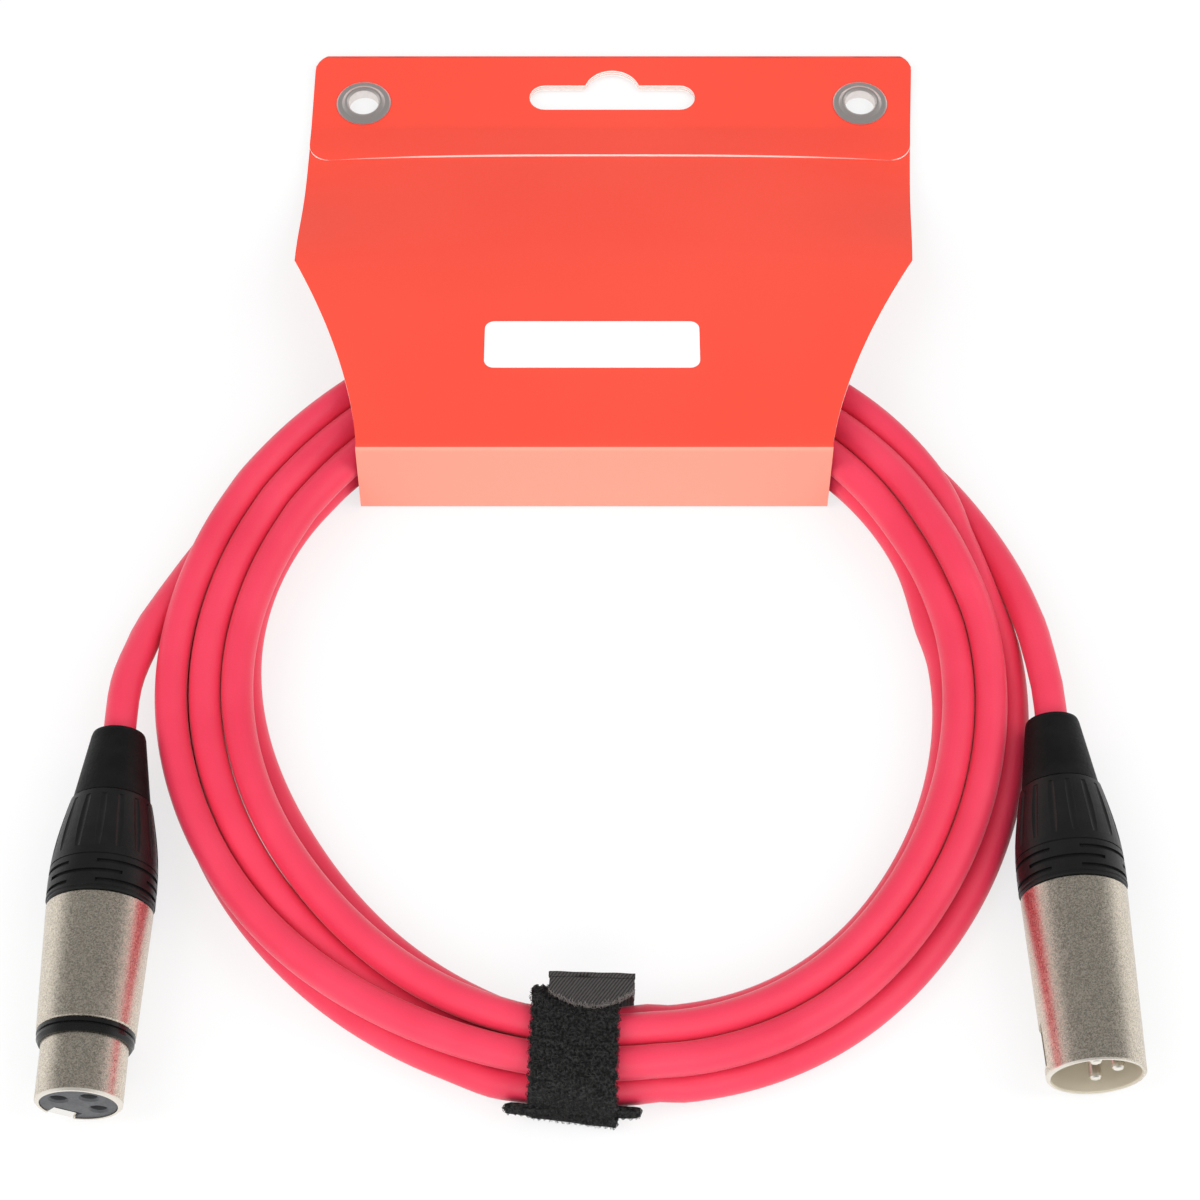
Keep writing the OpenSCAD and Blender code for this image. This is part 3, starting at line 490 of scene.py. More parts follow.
# %% Places in the bundle's section, and the turns that pass through them
D_MM = CABLE_D / MM
PLACES = {  # name: (radius, layers above the floor)
    "low_in": (69.9, 0), "low_mid": (76.2, 0), "low_out": (82.3, 0),
    "top_in": (69.9, 1), "top_mid": (76.1, 1), "top_out": (82.2, 1),
    "groove_in": (72.9, 0.87), "groove_out": (79.1, 0.87), "low_edge": (69.5, 0),
}
TURNS = [  # where each turn lies at the left, leaving the card, at the front, and at the left again
    ("low_out", "low_mid", "low_mid", "top_mid"),
    ("top_mid", "top_out", "low_out", "low_out"),
    ("low_mid", "low_in", "low_in", "low_edge"),
    ("low_in", "top_in", "groove_in", "top_in"),
    ("top_in", "top_mid", "groove_out", "top_out"),
    ("top_out", "low_out", "low_out", "low_out"),
]
PLACE_SPANS = [(152, 130), (58, 35), (15, -108), (-150, -190)]  # where along a turn each of the four is held
STATION = 3.0  # degrees between neighbouring points of the plan
LAPS = len(TURNS) - 1
FIRST, LAST = 162.0, 6.0 - LAPS * 360.0  # azimuths fall along the cable, by 360 for each lap
FEMALE_JOINS, MALE_LEAVES = 141.0, 51.0 - LAPS * 360.0
print("laps:", LAPS)

# %% [markdown]
# ### From the places to a plan
# Three things lie under the strands: the floor, the card's back panel and the strap. The plan follows them as
# gentle steps in height. It also leaves the circle a little, as the real bundle does: it is drawn in at the
# left, bulges at the right of the strap, and leans inwards at both sides.

# %% What the cable lies on
STRAP_ANGLE, CARD_ANGLE = -91.8, 90.0  # azimuths of the middles of the strap and the card
FLOOR_GAP, STRAP_LIFT, CARD_LIFT = 0.05, 1.3, 0.6
ROUTE_TOP, ROUTE_FALL, ROUTE_SINK = 10.05, 5.45, 0.8  # a loose end's first height, its fall, and a bit more


def wrapped(azimuth):
    """The same azimuth between -180 and 180 degrees."""
    return (azimuth + 180.0) % 360.0 - 180.0


def nearness(azimuth, middle, crest, fade):
    """1 near a middle azimuth. Further away it falls within one fade, and it is 0 from crest times fade on."""
    return np.clip(crest - np.abs(wrapped(azimuth) - middle) / fade, 0, 1)


def eased(share):
    """The same share, with a gentle start and end."""
    return share * share * (3 - 2 * share)


def floor_under(azimuth):
    """Height of the cable's middle where it lies lowest: on the floor, on the strap or on the card's back."""
    on_strap = nearness(azimuth, STRAP_ANGLE, 1.9, 14.0)
    on_card = nearness(azimuth, CARD_ANGLE, 2.4, 34.0)
    return D_MM / 2 + FLOOR_GAP + STRAP_LIFT * eased(on_strap) + CARD_LIFT * eased(on_card)


def settle_to_floor(height):
    """A loose end starts at a connector's axis, and ends as low as the card's back lets it."""
    return height - ROUTE_SINK * np.clip((ROUTE_TOP - height) / ROUTE_FALL, 0, 1)


for name, azimuth in (("floor", 0.0), ("strap", STRAP_ANGLE), ("card", CARD_ANGLE)):
    print("lowest middle of a strand on the", name, "in mm:", round(float(floor_under(azimuth)), 2))

# %% The plan, which joins the places by gentle changes
azimuths = np.arange(FIRST, LAST - 1, -STATION)
plan = []
for turn, places in enumerate(TURNS):
    for (start, end), name in zip(PLACE_SPANS, places):
        plan += [(start - 360 * turn, *PLACES[name]), (end - 360 * turn, *PLACES[name])]
plan = np.array(plan)
ahead = np.clip(np.searchsorted(-plan[:, 0], -azimuths), 1, len(plan) - 1)
share = eased(np.clip((plan[ahead - 1, 0] - azimuths) / (plan[ahead - 1, 0] - plan[ahead, 0]), 0, 1))
planned = plan[ahead - 1, 1:] * (1 - share[:, None]) + plan[ahead, 1:] * share[:, None]
section = np.column_stack([planned[:, 0], floor_under(azimuths) + planned[:, 1] * D_MM])
print("points in the plan:", len(section))

# %% Where the bundle isn't a true ring
STRAY = [  # (azimuth, millimetres off the circle)
    (-180, -1.6), (-168, -2.6), (-150, -3.2), (-122, -3.2), (-105, -1.8), (-78, 1.6), (-66, 3.8), (-54, 4.2),
    (-38, 1.2), (-10, -0.3), (8, 1.2), (25, 1.9), (45, 0.6), (60, 0), (90, 0), (118, 0.4), (138, 0.5),
    (152, 0.2), (166, 0.3), (180, -1.6),
]
LEAN = [  # (azimuth, millimetres that the top layer lies further in than the floor layer)
    (-180, 0), (-62, 0), (-36, 2.4), (8, 2.4), (34, 0), (98, 0), (126, 2.6), (166, 2.8), (180, 0),
]
RIPPLES = [(0.35, 0.83), (0.25, 2.17)]  # (millimetres, waves for each lap)
LOOSE_AT, LOOSE_SPREAD, LOOSE_BY = -147.0 - 2 * 360.0, 25.0, 4.5  # one inner strand hangs into the ring
bearings = wrapped(azimuths)
stray = np.interp(bearings, *zip(*STRAY))
stray -= LOOSE_BY * np.exp(-(((azimuths - LOOSE_AT) / LOOSE_SPREAD) ** 2))
lean = np.interp(bearings, *zip(*LEAN))
section[:, 0] -= lean * planned[:, 1]
waver = stray
for size, waves in RIPPLES:
    waver = waver + size * np.sin(np.radians(azimuths * waves))
section[:, 0] += waver
print("off the circle in mm, from", waver.min().round(1), "to", waver.max().round(1))

# %% The loose ends as part of the plan
def polar(route):
    """A route's azimuths, radii and heights."""
    line = curve_through(route, 12)
    return np.degrees(np.arctan2(line[:, 1], line[:, 0])), np.hypot(line[:, 0], line[:, 1]), line[:, 2]


free = np.ones(len(section), bool)
for route, offset, fixed in ((FEMALE_ROUTE, 0.0, azimuths >= FEMALE_JOINS),
                             (MALE_ROUTE, LAPS * 360.0, azimuths <= MALE_LEAVES)):
    angle, radius, height = polar(route)
    order = np.argsort(angle)
    along = azimuths[fixed] + offset
    section[fixed, 0] = np.interp(along, angle[order], radius[order])
    section[fixed, 1] = settle_to_floor(np.interp(along, angle[order], height[order]))
    free[fixed] = False
print("points that may settle:", free.sum(), "of", len(free))

# %% [markdown]
# ### Settling
# The plan's strands still run through each other where they change places. In a real bundle they push each
# other aside, so that is what happens here. Wherever two strands are closer than a diameter, each gives way by
# half of what is missing, and then all of them are smoothed a little and pulled back towards the plan. After
# some hundred steps nothing overlaps. The strap, the floor and the card's spine limit how far a strand may go.

# %% The room that the strands have
STRAP_INNER, STRAP_OUTER, STRAP_UPPER = 69.75, 82.25, 10.85  # for a strand's middle, within the strap
RING_INNER, RING_OUTER, RING_UPPER = 69.0, 84.5, 14.0  # and beside it
CARD_ROOM, LEAN_ROOM = 2.5, 0.6  # more room inwards under the card, and for each millimetre of lean
SPINE_EDGES = ((136.5, 68.2), (49.0, 69.7))  # (azimuth, least radius) where the turned card's spine passes
EDGE_SPREAD = 12.0  # degrees on both sides of such an edge
in_strap = nearness(azimuths, STRAP_ANGLE, 3.0, 6.0)
in_card = nearness(azimuths, CARD_ANGLE, 2.4, 20.0)


def room(within_strap, beside_it):
    """A limit that changes softly where the strands enter and leave the strap."""
    return in_strap * within_strap + (1 - in_strap) * beside_it


inner_limit = room(STRAP_INNER, RING_INNER - CARD_ROOM * in_card - LEAN_ROOM * lean + np.minimum(stray, 0))
for edge, least in SPINE_EDGES:
    near = np.abs(bearings - edge) < EDGE_SPREAD
    inner_limit[near] = np.maximum(inner_limit[near], least)
outer_limit = room(STRAP_OUTER, RING_OUTER + np.maximum(stray, 0))
upper_limit = room(STRAP_UPPER, RING_UPPER)
lowest = floor_under(azimuths)
print("room in mm, from", inner_limit.min().round(1), "to", outer_limit.max().round(1))

# %% Pushing strands apart
PER_LAP = int(360 / STATION)
SPARE = 0.03  # millimetres more than a diameter


def pairs(laps):
    """The points of the section, and the points that lie a number of laps further along the cable."""
    return section[: len(section) - laps * PER_LAP], section[laps * PER_LAP :]


def push_apart():
    """Moves strands of different laps apart where they are closer than a diameter."""
    for laps in range(1, LAPS + 1):
        here, there = pairs(laps)
        way = there - here
        gap = np.maximum(np.hypot(way[:, 0], way[:, 1]), 1e-6)
        short = np.maximum(D_MM + SPARE - gap, 0)[:, None] * way / gap[:, None]
        free_here = free[: len(here), None] * 1.0
        free_there = free[laps * PER_LAP :, None] * 1.0
        total = np.maximum(free_here + free_there, 1)
        here -= short * free_here / total
        there += short * free_there / total


def closest_strands():
    return min(np.hypot(*(there - here).T).min() for here, there in map(pairs, range(1, LAPS + 1)))


print("closest strands in the plan in mm:", closest_strands().round(2))

# %% Settling
STEPS, SMOOTH_STEPS = 500, 440  # the last steps only push, so that no smoothing brings strands together again
PULL = 0.02  # share of the way back to the plan, at each step
target = section.copy()
for step in range(STEPS):
    if step < SMOOTH_STEPS:
        section[free] += PULL * (target[free] - section[free])
        smooth = section.copy()
        smooth[2:-2] = (section[:-4] + 4 * section[1:-3] + 6 * section[2:-2]
                        + 4 * section[3:-1] + section[4:]) / 16
        section[free] = smooth[free]
    push_apart()
    section[free, 0] = np.clip(section[free, 0], inner_limit[free], outer_limit[free])
    section[free, 1] = np.clip(section[free, 1], lowest[free], upper_limit[free])
print("closest strands in mm:", closest_strands().round(2))
print("radii in mm, from", section[:, 0].min().round(1), "to", section[:, 0].max().round(1))
print("highest middle of a strand in mm:", section[:, 1].max().round(1))

# %% The cable's line from connector to connector
def axis_point(side, station):
    """A point on a connector's axis, in millimetres from the coil's middle."""
    spot = PLACE[side] @ Vector((0, 0, station * MM))
    return ((spot.x - COIL_X) / MM, (spot.y - COIL_Y) / MM, spot.z / MM)


CABLE_END = 29.5  # station in the chuck where the jacket is cut
IN_BOOT = (CABLE_END, 22, 15, 8, 1)  # stations through a connector's boot
spun = [(r * math.cos(math.radians(a)), r * math.sin(math.radians(a)), z)
        for a, (r, z) in zip(azimuths, section)]
female_start = [(x, y, settle_to_floor(z)) for x, y, z in FEMALE_ROUTE[:4]]
male_start = [(x, y, settle_to_floor(z)) for x, y, z in MALE_ROUTE[:1]]
female_end = [axis_point("female", station) for station in IN_BOOT] + female_start
male_end = male_start + [axis_point("male", station) for station in IN_BOOT[::-1]]
line = curve_through(female_end + spun + male_end, 2) * MM + np.array([COIL_X, COIL_Y, 0])
CABLE_LENGTH = float(np.linalg.norm(np.diff(line, axis=0), axis=1).sum())
print("cable length in m:", round(CABLE_LENGTH, 3))

# %% [markdown]
# ### The tube
# The jacket is a plain round tube. It could be a circle swept as a mesh, but a curve with a round bevel does
# the same with fewer points, and its length and its bends can still be measured along its line.

# %% The cable as a curve
def new_curve(name, points, radius, finish, resolution):
    """A round tube along points, in metres."""
    data = bpy.data.curves.new(name, "CURVE")
    data.dimensions = "3D"
    data.bevel_depth = radius
    data.bevel_resolution = resolution
    data.use_fill_caps = True
    spline = data.splines.new("POLY")
    spline.points.add(len(points) - 1)
    for point, place in zip(spline.points, points):
        point.co = (*place, 1.0)
    data.materials.append(finish.material)
    piece = bpy.data.objects.new(name, data)
    bpy.context.scene.collection.objects.link(piece)
    return piece


cable = new_curve("cable", line, CABLE_D / 2, jacket, 7)
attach(cable, "root")
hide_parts("cable_coil", "cable_tail_female", "cable_tail_male", "cable_end_female", "cable_end_male")

# %% [markdown]
# ## The card
# One sheet makes the whole card. From the header it comes down as the front panel, bends at a crease, stands
# as the spine inside the coil, turns under the coil as the back panel, rises a little, and folds over the top
# edge into a flap. A plate for each panel would leave seams at the bends, so the sheet is drawn as a line of
# rows from end to end, each row with its own width. The sheet gets its thickness from a Solidify modifier,
# whose rim is the white board, and the holes are cut through all layers at once.

# %% The card's measures, in millimetres of reach, height and width
CARD_T = 0.5
LAYER = CARD_T + 0.1  # from one layer of the header to the next
CARD_REACH = (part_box("card_header")[1].y - COIL_Y) / MM
HEADER_REACH, FLAP_REACH, SHOULDER_REACH = CARD_REACH - 20.35, CARD_REACH - 30.4, 96.0
BACK_Z, SPINE_Z = 0.85, CARD_T / 2
FRONT_Z, FLAP_Z = BACK_Z + LAYER, BACK_Z + 2 * LAYER
FOLD_REACH = CARD_REACH - LAYER - CARD_T / 2
SPINE_REACH = (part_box("card_front_panel")[0].y - COIL_Y) / MM + SPINE_Z
SPINE_LEAN, CREASE_Z = 2.0, (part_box("card_front_panel")[1].z) / MM - SPINE_Z
CREASE_REACH = SPINE_REACH + SPINE_LEAN
SPINE_W, SHOULDER_W, TOP_W, FLARE = 94.6, 128.4, 132.0, 1.45
CORNER = 4.5
CARD_SHIFT, CARD_SLANT = 1.0, 0.037  # sideways at the spine, and more for each millimetre of reach
CROWN_FROM, CROWN_OVER, CROWN = 98.0, 30.0, 0.6  # where the bow dies out at the sides, and by what share
print("card from", round(SPINE_REACH, 1), "to", round(CARD_REACH, 1), "crease height:", round(CREASE_Z, 1))

# %% The card's outline and its bow
def card_middle(reach):
    return CARD_SHIFT + CARD_SLANT * (reach - SPINE_REACH)


def card_half(reach):
    """Half the card's width: it flares from the spine to the shoulders, and little more up to the top."""
    if reach > SHOULDER_REACH:
        wider = (TOP_W - SHOULDER_W) * (reach - SHOULDER_REACH) / (CARD_REACH - SHOULDER_REACH)
        return (SHOULDER_W + wider) / 2
    return (SPINE_W + (SHOULDER_W - SPINE_W)
            * max(0.0, (reach - CREASE_REACH) / (SHOULDER_REACH - CREASE_REACH)) ** FLARE) / 2


def corner_loss(beyond):
    """How much a rounded corner takes off one side, a distance inside the corner's own square."""
    return CORNER - math.sqrt(max(0.0, CORNER**2 - max(0.0, beyond) ** 2))


def panel_lift(reach):
    """How high the front panel bows above the header."""
    share = max(0.0, (HEADER_REACH - reach) / (HEADER_REACH - CREASE_REACH))
    return (CREASE_Z - FRONT_Z) * math.sin(math.pi / 2 * share)


def crowned(reach, lift, across):
    """Near the header the bow is full in the middle only, because the eyelets hold both sides down."""
    share = min(1.0, max(0.0, (reach - CROWN_FROM) / CROWN_OVER))
    return lift * (1 - CROWN * eased(share) * abs(across) ** 3)


print("width at the shoulders in mm:", round(2 * card_half(SHOULDER_REACH), 1))

# %% Stretches and bends
def stretch(start, end, steps):
    return [start + (end - start) * i / steps for i in range(steps + 1)]


def bend(corner, before, after, radius, steps=5):
    """A rounded corner between two straight stretches, as a quadratic curve."""
    corner = Vector(corner)
    start = corner + radius * (Vector(before) - corner).normalized()
    end = corner + radius * (Vector(after) - corner).normalized()
    return [tuple(start.lerp(corner, t).lerp(corner.lerp(end, t), t)) for t in stretch(0, 1, steps)]


CREASE_RADIUS, FOOT_RADIUS = 1.2, 0.8
AHEAD = 5  # how far from a bend the line's direction is taken
crease_point, foot_point = (CREASE_REACH, CREASE_Z), (SPINE_REACH, SPINE_Z)
on_panel = (CREASE_REACH + AHEAD, FRONT_Z + panel_lift(CREASE_REACH + AHEAD))
crease = bend(crease_point, on_panel, foot_point, CREASE_RADIUS)
foot = bend(foot_point, crease_point, (SPINE_REACH + AHEAD, SPINE_Z), FOOT_RADIUS)
print("rows in the two bends:", len(crease + foot))

# %% Rows, each a reach, a height, a lift and half a width
BACK_SETBACK = 9.0  # the back panel flares later, so that the front panel hides it


def flat_rows(height, start, end, steps, width_of=card_half):
    return [(reach, height, 0.0, width_of(reach)) for reach in stretch(start, end, steps)]


def bowed_rows(height, start, end, steps):
    """Rows of the front panel or of the flap on it, which rise by a lift above a height."""
    return [(reach, height, panel_lift(reach), card_half(reach)) for reach in stretch(start, end, steps)]


def later_half(reach):
    return card_half(min(reach - BACK_SETBACK, SHOULDER_REACH))


def cornered(reach, beyond):
    return card_half(reach) - corner_loss(beyond)


# %% The card's rows, from the front panel's hidden end to the flap
BACK_END = SHOULDER_REACH + BACK_SETBACK
JOGGLE_REACH, JOGGLE_LEN = HEADER_REACH - 20, 6.0
CORNER_FROM = CARD_REACH - CORNER
top_corner = []
for angle in stretch(0, math.pi / 2, 5):
    reach = CORNER_FROM + (CORNER - LAYER) * math.sin(angle)
    top_corner.append((reach, cornered(reach, reach - CORNER_FROM)))
# Each stretch starts a millimetre or more past the last one, so that no two rows coincide.
rows = flat_rows(FRONT_Z, FOLD_REACH - 2, HEADER_REACH, 8)
rows += bowed_rows(FRONT_Z, HEADER_REACH - 1, SHOULDER_REACH, 14)
rows += bowed_rows(FRONT_Z, SHOULDER_REACH - 2, CREASE_REACH + 3, 24)
rows += [(reach, height, 0.0, SPINE_W / 2) for reach, height in crease + foot]
rows += flat_rows(SPINE_Z, SPINE_REACH + 2, BACK_END, 24, later_half)
rows += flat_rows(SPINE_Z, BACK_END + 2, JOGGLE_REACH, 4)
rows += flat_rows(BACK_Z, JOGGLE_REACH + JOGGLE_LEN, CORNER_FROM - 1, 10)
rows += [(reach, BACK_Z, 0.0, half) for reach, half in top_corner]
for angle in stretch(-math.pi / 2, math.pi / 2, 8):
    reach = FOLD_REACH + LAYER * math.cos(angle)
    rows.append((reach, FRONT_Z + LAYER * math.sin(angle), 0.0, cornered(reach, reach - CORNER_FROM)))
rows += [(reach, FLAP_Z, 0.0, half) for reach, half in reversed(top_corner)]
rows += flat_rows(FLAP_Z, CORNER_FROM - 1, HEADER_REACH, 8)
rows += bowed_rows(FLAP_Z, HEADER_REACH - 1, FLAP_REACH + CORNER, 5)
for angle in stretch(0.2, math.pi / 2, 6):
    reach = FLAP_REACH + CORNER * (1 - math.sin(angle))
    rows.append((reach, FLAP_Z, panel_lift(reach), cornered(reach, FLAP_REACH + CORNER - reach)))
print("rows in the card:", len(rows))

# %% The sheet
def new_piece(name, mesh, *finishes):
    """Turns a bmesh into an object of the scene and gives it its finishes."""
    data = bpy.data.meshes.new(name)
    mesh.to_mesh(data)
    mesh.free()
    for finish in finishes:
        data.materials.append(finish.material)
    piece = bpy.data.objects.new(name, data)
    bpy.context.scene.collection.objects.link(piece)
    return piece


def bake(piece, sharp_angle):
    """Turns a piece's modifiers into plain mesh, smooth except at edges sharper than the angle."""
    solid = piece.evaluated_get(bpy.context.evaluated_depsgraph_get())
    data = bpy.data.meshes.new_from_object(solid)
    piece.modifiers.clear()
    piece.data = data
    data.polygons.foreach_set("use_smooth", [True] * len(data.polygons))
    data.set_sharp_from_angle(angle=sharp_angle)


COLUMNS = 24
sheet = bmesh.new()
bmesh.ops.create_grid(sheet, x_segments=COLUMNS, y_segments=len(rows) - 1, size=1)
for vert in sheet.verts:
    reach, height, lift, half = rows[round((vert.co.y + 1) / 2 * (len(rows) - 1))]
    height += crowned(reach, lift, vert.co.x)
    vert.co = (COIL_X + (card_middle(reach) + vert.co.x * half) * MM, COIL_Y + reach * MM, height * MM)
card = new_piece("card", sheet, print_red, board)
thick = card.modifiers.new("thickness", "SOLIDIFY")
thick.thickness = CARD_T * MM
thick.offset = 0
thick.material_offset_rim = 1
print("faces in the thin sheet:", len(card.data.polygons))

# %% [markdown]
# ### The holes
# The card hangs by a slot with a round bump, and each eyelet sits in a hole of its own. On the real card one
# punch goes through all its layers, so one boolean with one cutter does the same here. Holes drawn in the
# sheet's rows would need their own faces in each layer.

# %% The holes
SLOT_REACH, SLOT_W, SLOT_H, BUMP_W, BUMP_H = CARD_REACH - 12.2, 36.4, 6.8, 12.5, 4.2
EYELET_REACH, EYELET_SPACING, EYELET_BARREL = CARD_REACH - 13.9, 109.0, 3.75
PUNCH_FROM, PUNCH_LENGTH = -1 * MM, 10 * MM


def arc(x, y, radius, start, end, steps=12):
    return [(x + radius * math.cos(math.radians(a)), y + radius * math.sin(math.radians(a)))
            for a in stretch(start, end, steps)]


end_x = (SLOT_W - SLOT_H) / 2
bump_y = SLOT_H / 2 + BUMP_H - BUMP_W / 2
bump_from = math.degrees(math.asin((SLOT_H / 2 - bump_y) / (BUMP_W / 2)))
slot_shape = (arc(end_x, 0, SLOT_H / 2, -90, 90) + arc(0, bump_y, BUMP_W / 2, bump_from, 180 - bump_from, 20)
              + arc(-end_x, 0, SLOT_H / 2, 90, 270))
holes = [[(card_middle(SLOT_REACH) + x, SLOT_REACH + y) for x, y in slot_shape]]
for way in (-1, 1):
    eyelet_x = card_middle(EYELET_REACH) + way * EYELET_SPACING / 2
    holes.append(arc(eyelet_x, EYELET_REACH, EYELET_BARREL, 0, 350, 35))
punch = bmesh.new()
for outline in holes:
    floor_points = [punch.verts.new((COIL_X + x * MM, COIL_Y + y * MM, PUNCH_FROM)) for x, y in outline]
    wall = bmesh.ops.extrude_face_region(punch, geom=[punch.faces.new(floor_points)])
    raised = [part for part in wall["geom"] if isinstance(part, bmesh.types.BMVert)]
    bmesh.ops.translate(punch, vec=(0, 0, PUNCH_LENGTH), verts=raised)
bmesh.ops.recalc_face_normals(punch, faces=punch.faces)
for face in punch.faces:
    face.material_index = 1
cutter = new_piece("cutter", punch, print_red, board)
cut = card.modifiers.new("holes", "BOOLEAN")
cut.operation = "DIFFERENCE"
cut.solver = "EXACT"
cut.object = cutter
bake(card, math.radians(40))
bpy.data.objects.remove(cutter)
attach(card, "card")
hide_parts("card_front_panel", "card_back_panel", "card_header")
print("faces in the card:", len(card.data.polygons))

# %% [markdown]
# ## The strap
# The strap is a band of hook-and-loop fabric with a black curly pile. It goes round the bundle, and its
# slotted head stands at the outer side with an ear on each side of the band. Its loose end stands out at the
# inside. A bent plate would look like plastic, because woven fabric is never quite flat. So each piece is a
# thin sheet swept along a line, with small waves and an uneven edge, and only then gets its thickness.

# %% The strap's measures, in millimetres
STRAP_W, STRAP_T = 15.4, 1.2
STRAP_IN, STRAP_OUT, STRAP_INSIDE_TOP = 66.6, 85.4, 14.1
SKEW, SKEW_FROM, SKEW_OVER = 0.10, 80, 6  # the strap's outer side leans back towards its left
EAR, HEAD_LEN, HEAD_LOW = 4.5, 4.6, 2.3
HEAD_HALF = STRAP_W / 2 + EAR
TAB_LEN, TAB_W, TAB_SHIFT = 5.0, 15.2, 2.8
STRAP_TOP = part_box("strap_tab")[1].z / MM
HINGE_R = STRAP_IN - STRAP_T
turned = Matrix.Translation((COIL_X, COIL_Y, 0)) @ Matrix.Rotation(math.radians(STRAP_ANGLE), 4, "Z")
chance = random.Random(7)
print("top of the strap in mm:", round(STRAP_TOP, 1))

# %% A strip of fabric
def strap_place(radius, sideways, height):
    """From the strap's own radius, sideways and height in millimetres to the scene."""
    radius += SKEW * sideways * min(1.0, max(0.0, (radius - SKEW_FROM) / SKEW_OVER))
    return turned @ Vector((radius * MM, sideways * MM, height * MM))


def fabric_strip(line, low_side, high_side, thickness, ragged):
    """A strip of fabric along a line of (radius, height), with an uneven edge and a slightly wavy face."""
    strip = bmesh.new()
    bmesh.ops.create_grid(strip, x_segments=14, y_segments=len(line) - 1, size=1)
    for vert in strip.verts:
        along, across = round((vert.co.y + 1) / 2 * (len(line) - 1)), vert.co.x
        radius, height = line[along]
        wave = 0.10 * math.sin(3.1 * along + 5 * across) + 0.07 * math.sin(1.3 * along - 9 * across)
        edge = ragged * max(0, abs(across) - 0.8) * 5 * math.sin(2.3 * along + 2 * across)  # at the sides only
        edge *= math.copysign(1, across)
        sideways = low_side + (high_side - low_side) * (across + 1) / 2 + edge
        vert.co = strap_place(radius, sideways, max(height + wave, thickness / 2 + 0.05))
    return strip


def thicken(piece, thickness):
    solid = piece.modifiers.new("thickness", "SOLIDIFY")
    solid.thickness = thickness * MM
    solid.offset = 0
    bake(piece, math.radians(60))


def soft_path(corners, radius, pitch):
    """A line through corners, rounded at each, with a point about every pitch."""
    line = [corners[0]]
    for before, corner, after in zip(corners, corners[1:], corners[2:]):
        line += bend(corner, before, after, radius, 4)
    line.append(corners[-1])
    fine = [line[0]]
    for start, end in zip(line, line[1:]):
        steps = max(1, round(math.dist(start, end) / pitch))
        fine += [tuple(Vector(start).lerp(Vector(end), i / steps)) for i in range(1, steps + 1)]
    return fine


# %% The band
half_t = STRAP_T / 2
loop_in, loop_out = STRAP_IN - half_t, STRAP_OUT + half_t
loop_top = STRAP_INSIDE_TOP + half_t
seam_r = loop_out + 0.6  # where the band's two ends meet under the head
BEND_R, PITCH = 4.2, 1.0
band_line = soft_path([(seam_r, 2.5), (seam_r, half_t), (loop_in, half_t), (loop_in, loop_top),
                       (loop_out, loop_top), (seam_r, 0.9)], BEND_R, PITCH)
band_strip = fabric_strip(band_line, -STRAP_W / 2, STRAP_W / 2, STRAP_T, ragged=0.35)
band = new_piece("strap_band_visual", band_strip, pile)
thicken(band, STRAP_T)
print("length of the band's loop in mm:", round(sum(map(math.dist, band_line, band_line[1:]))))

# %% The head, upright at the outer side
HEAD_OFF, HEAD_TILT = 0.75, 0.25  # off the band, and how much further at its upper edge
HEAD_T = STRAP_T * 0.8
head = bmesh.new()
bmesh.ops.create_grid(head, x_segments=20, y_segments=6, size=1)
for vert in head.verts:
    across, along = vert.co.x, (vert.co.y + 1) / 2
    corner = 1.2 * max(0, abs(across) - 0.9) * 10 * (2 * along - 1) ** 2  # rounds the ears
    height = HEAD_LOW + HEAD_LEN * along - corner * (1 if along > 0.5 else -1) * 0.6
    wave = 0.12 * math.sin(9 * across) + 0.10 * math.sin(5 * along + 3 * across)
    radius = STRAP_OUT + HEAD_OFF + HEAD_TILT * along + wave - SKEW * across * HEAD_HALF  # and isn't skewed
    vert.co = strap_place(radius, across * HEAD_HALF, height + 0.25 * math.sin(7 * across + 2))
band_head = new_piece("strap_head_visual", head, pile)
thicken(band_head, HEAD_T)
print("width of the head in mm:", round(2 * HEAD_HALF, 1))

# %% The band's way up at the inside, and the loose end
under_r = HINGE_R - half_t
under_corners = [(under_r, STRAP_T), (under_r, STRAP_TOP - 0.5), (under_r + 0.1, STRAP_TOP)]
under_line = soft_path(under_corners, 0.3, PITCH)
under_strip = fabric_strip(under_line, TAB_SHIFT - TAB_W / 2, TAB_SHIFT + TAB_W / 2, STRAP_T, ragged=0.2)
under = new_piece("strap_under_visual", under_strip, weave)
thicken(under, STRAP_T * 0.8)

TAB_Z = STRAP_TOP - half_t
TAB_FROM = HINGE_R + 0.1
TAB_ARC = 0.75 * STRAP_W  # radius of its rounded end


def tab_end(sideways):
    """How far out the loose end reaches: less at its sides, because its end is rounded."""
    return TAB_FROM + TAB_LEN - TAB_ARC + math.sqrt(TAB_ARC**2 - sideways**2)


tab = bmesh.new()
bmesh.ops.create_grid(tab, x_segments=20, y_segments=10, size=1)
for vert in tab.verts:
    across, along = vert.co.x, (vert.co.y + 1) / 2
    sideways = across * TAB_W / 2
    droop = 0.5 * along**2 + 0.5 * along * max(0, across) ** 3  # most at one corner
    radius = TAB_FROM + (tab_end(sideways) - TAB_FROM) * along
    vert.co = strap_place(radius, TAB_SHIFT + sideways, TAB_Z + 0.35 - droop)
loose_end = new_piece("strap_tab_visual", tab, weave)
thicken(loose_end, STRAP_T * 0.6)
print("loose end in mm:", round(tab_end(0) - TAB_FROM, 1), "long and", TAB_W, "wide")

# %% [markdown]
# ### The pile
# The pile is a felt of short loops. A hair system would grow them too, but only a mesh goes everywhere that
# the object goes. So they are grown from the sheets' faces by a seeded generator, and every run gives the
# same strap. The loose end has a woven side without pile, and only its cut edge is frayed.

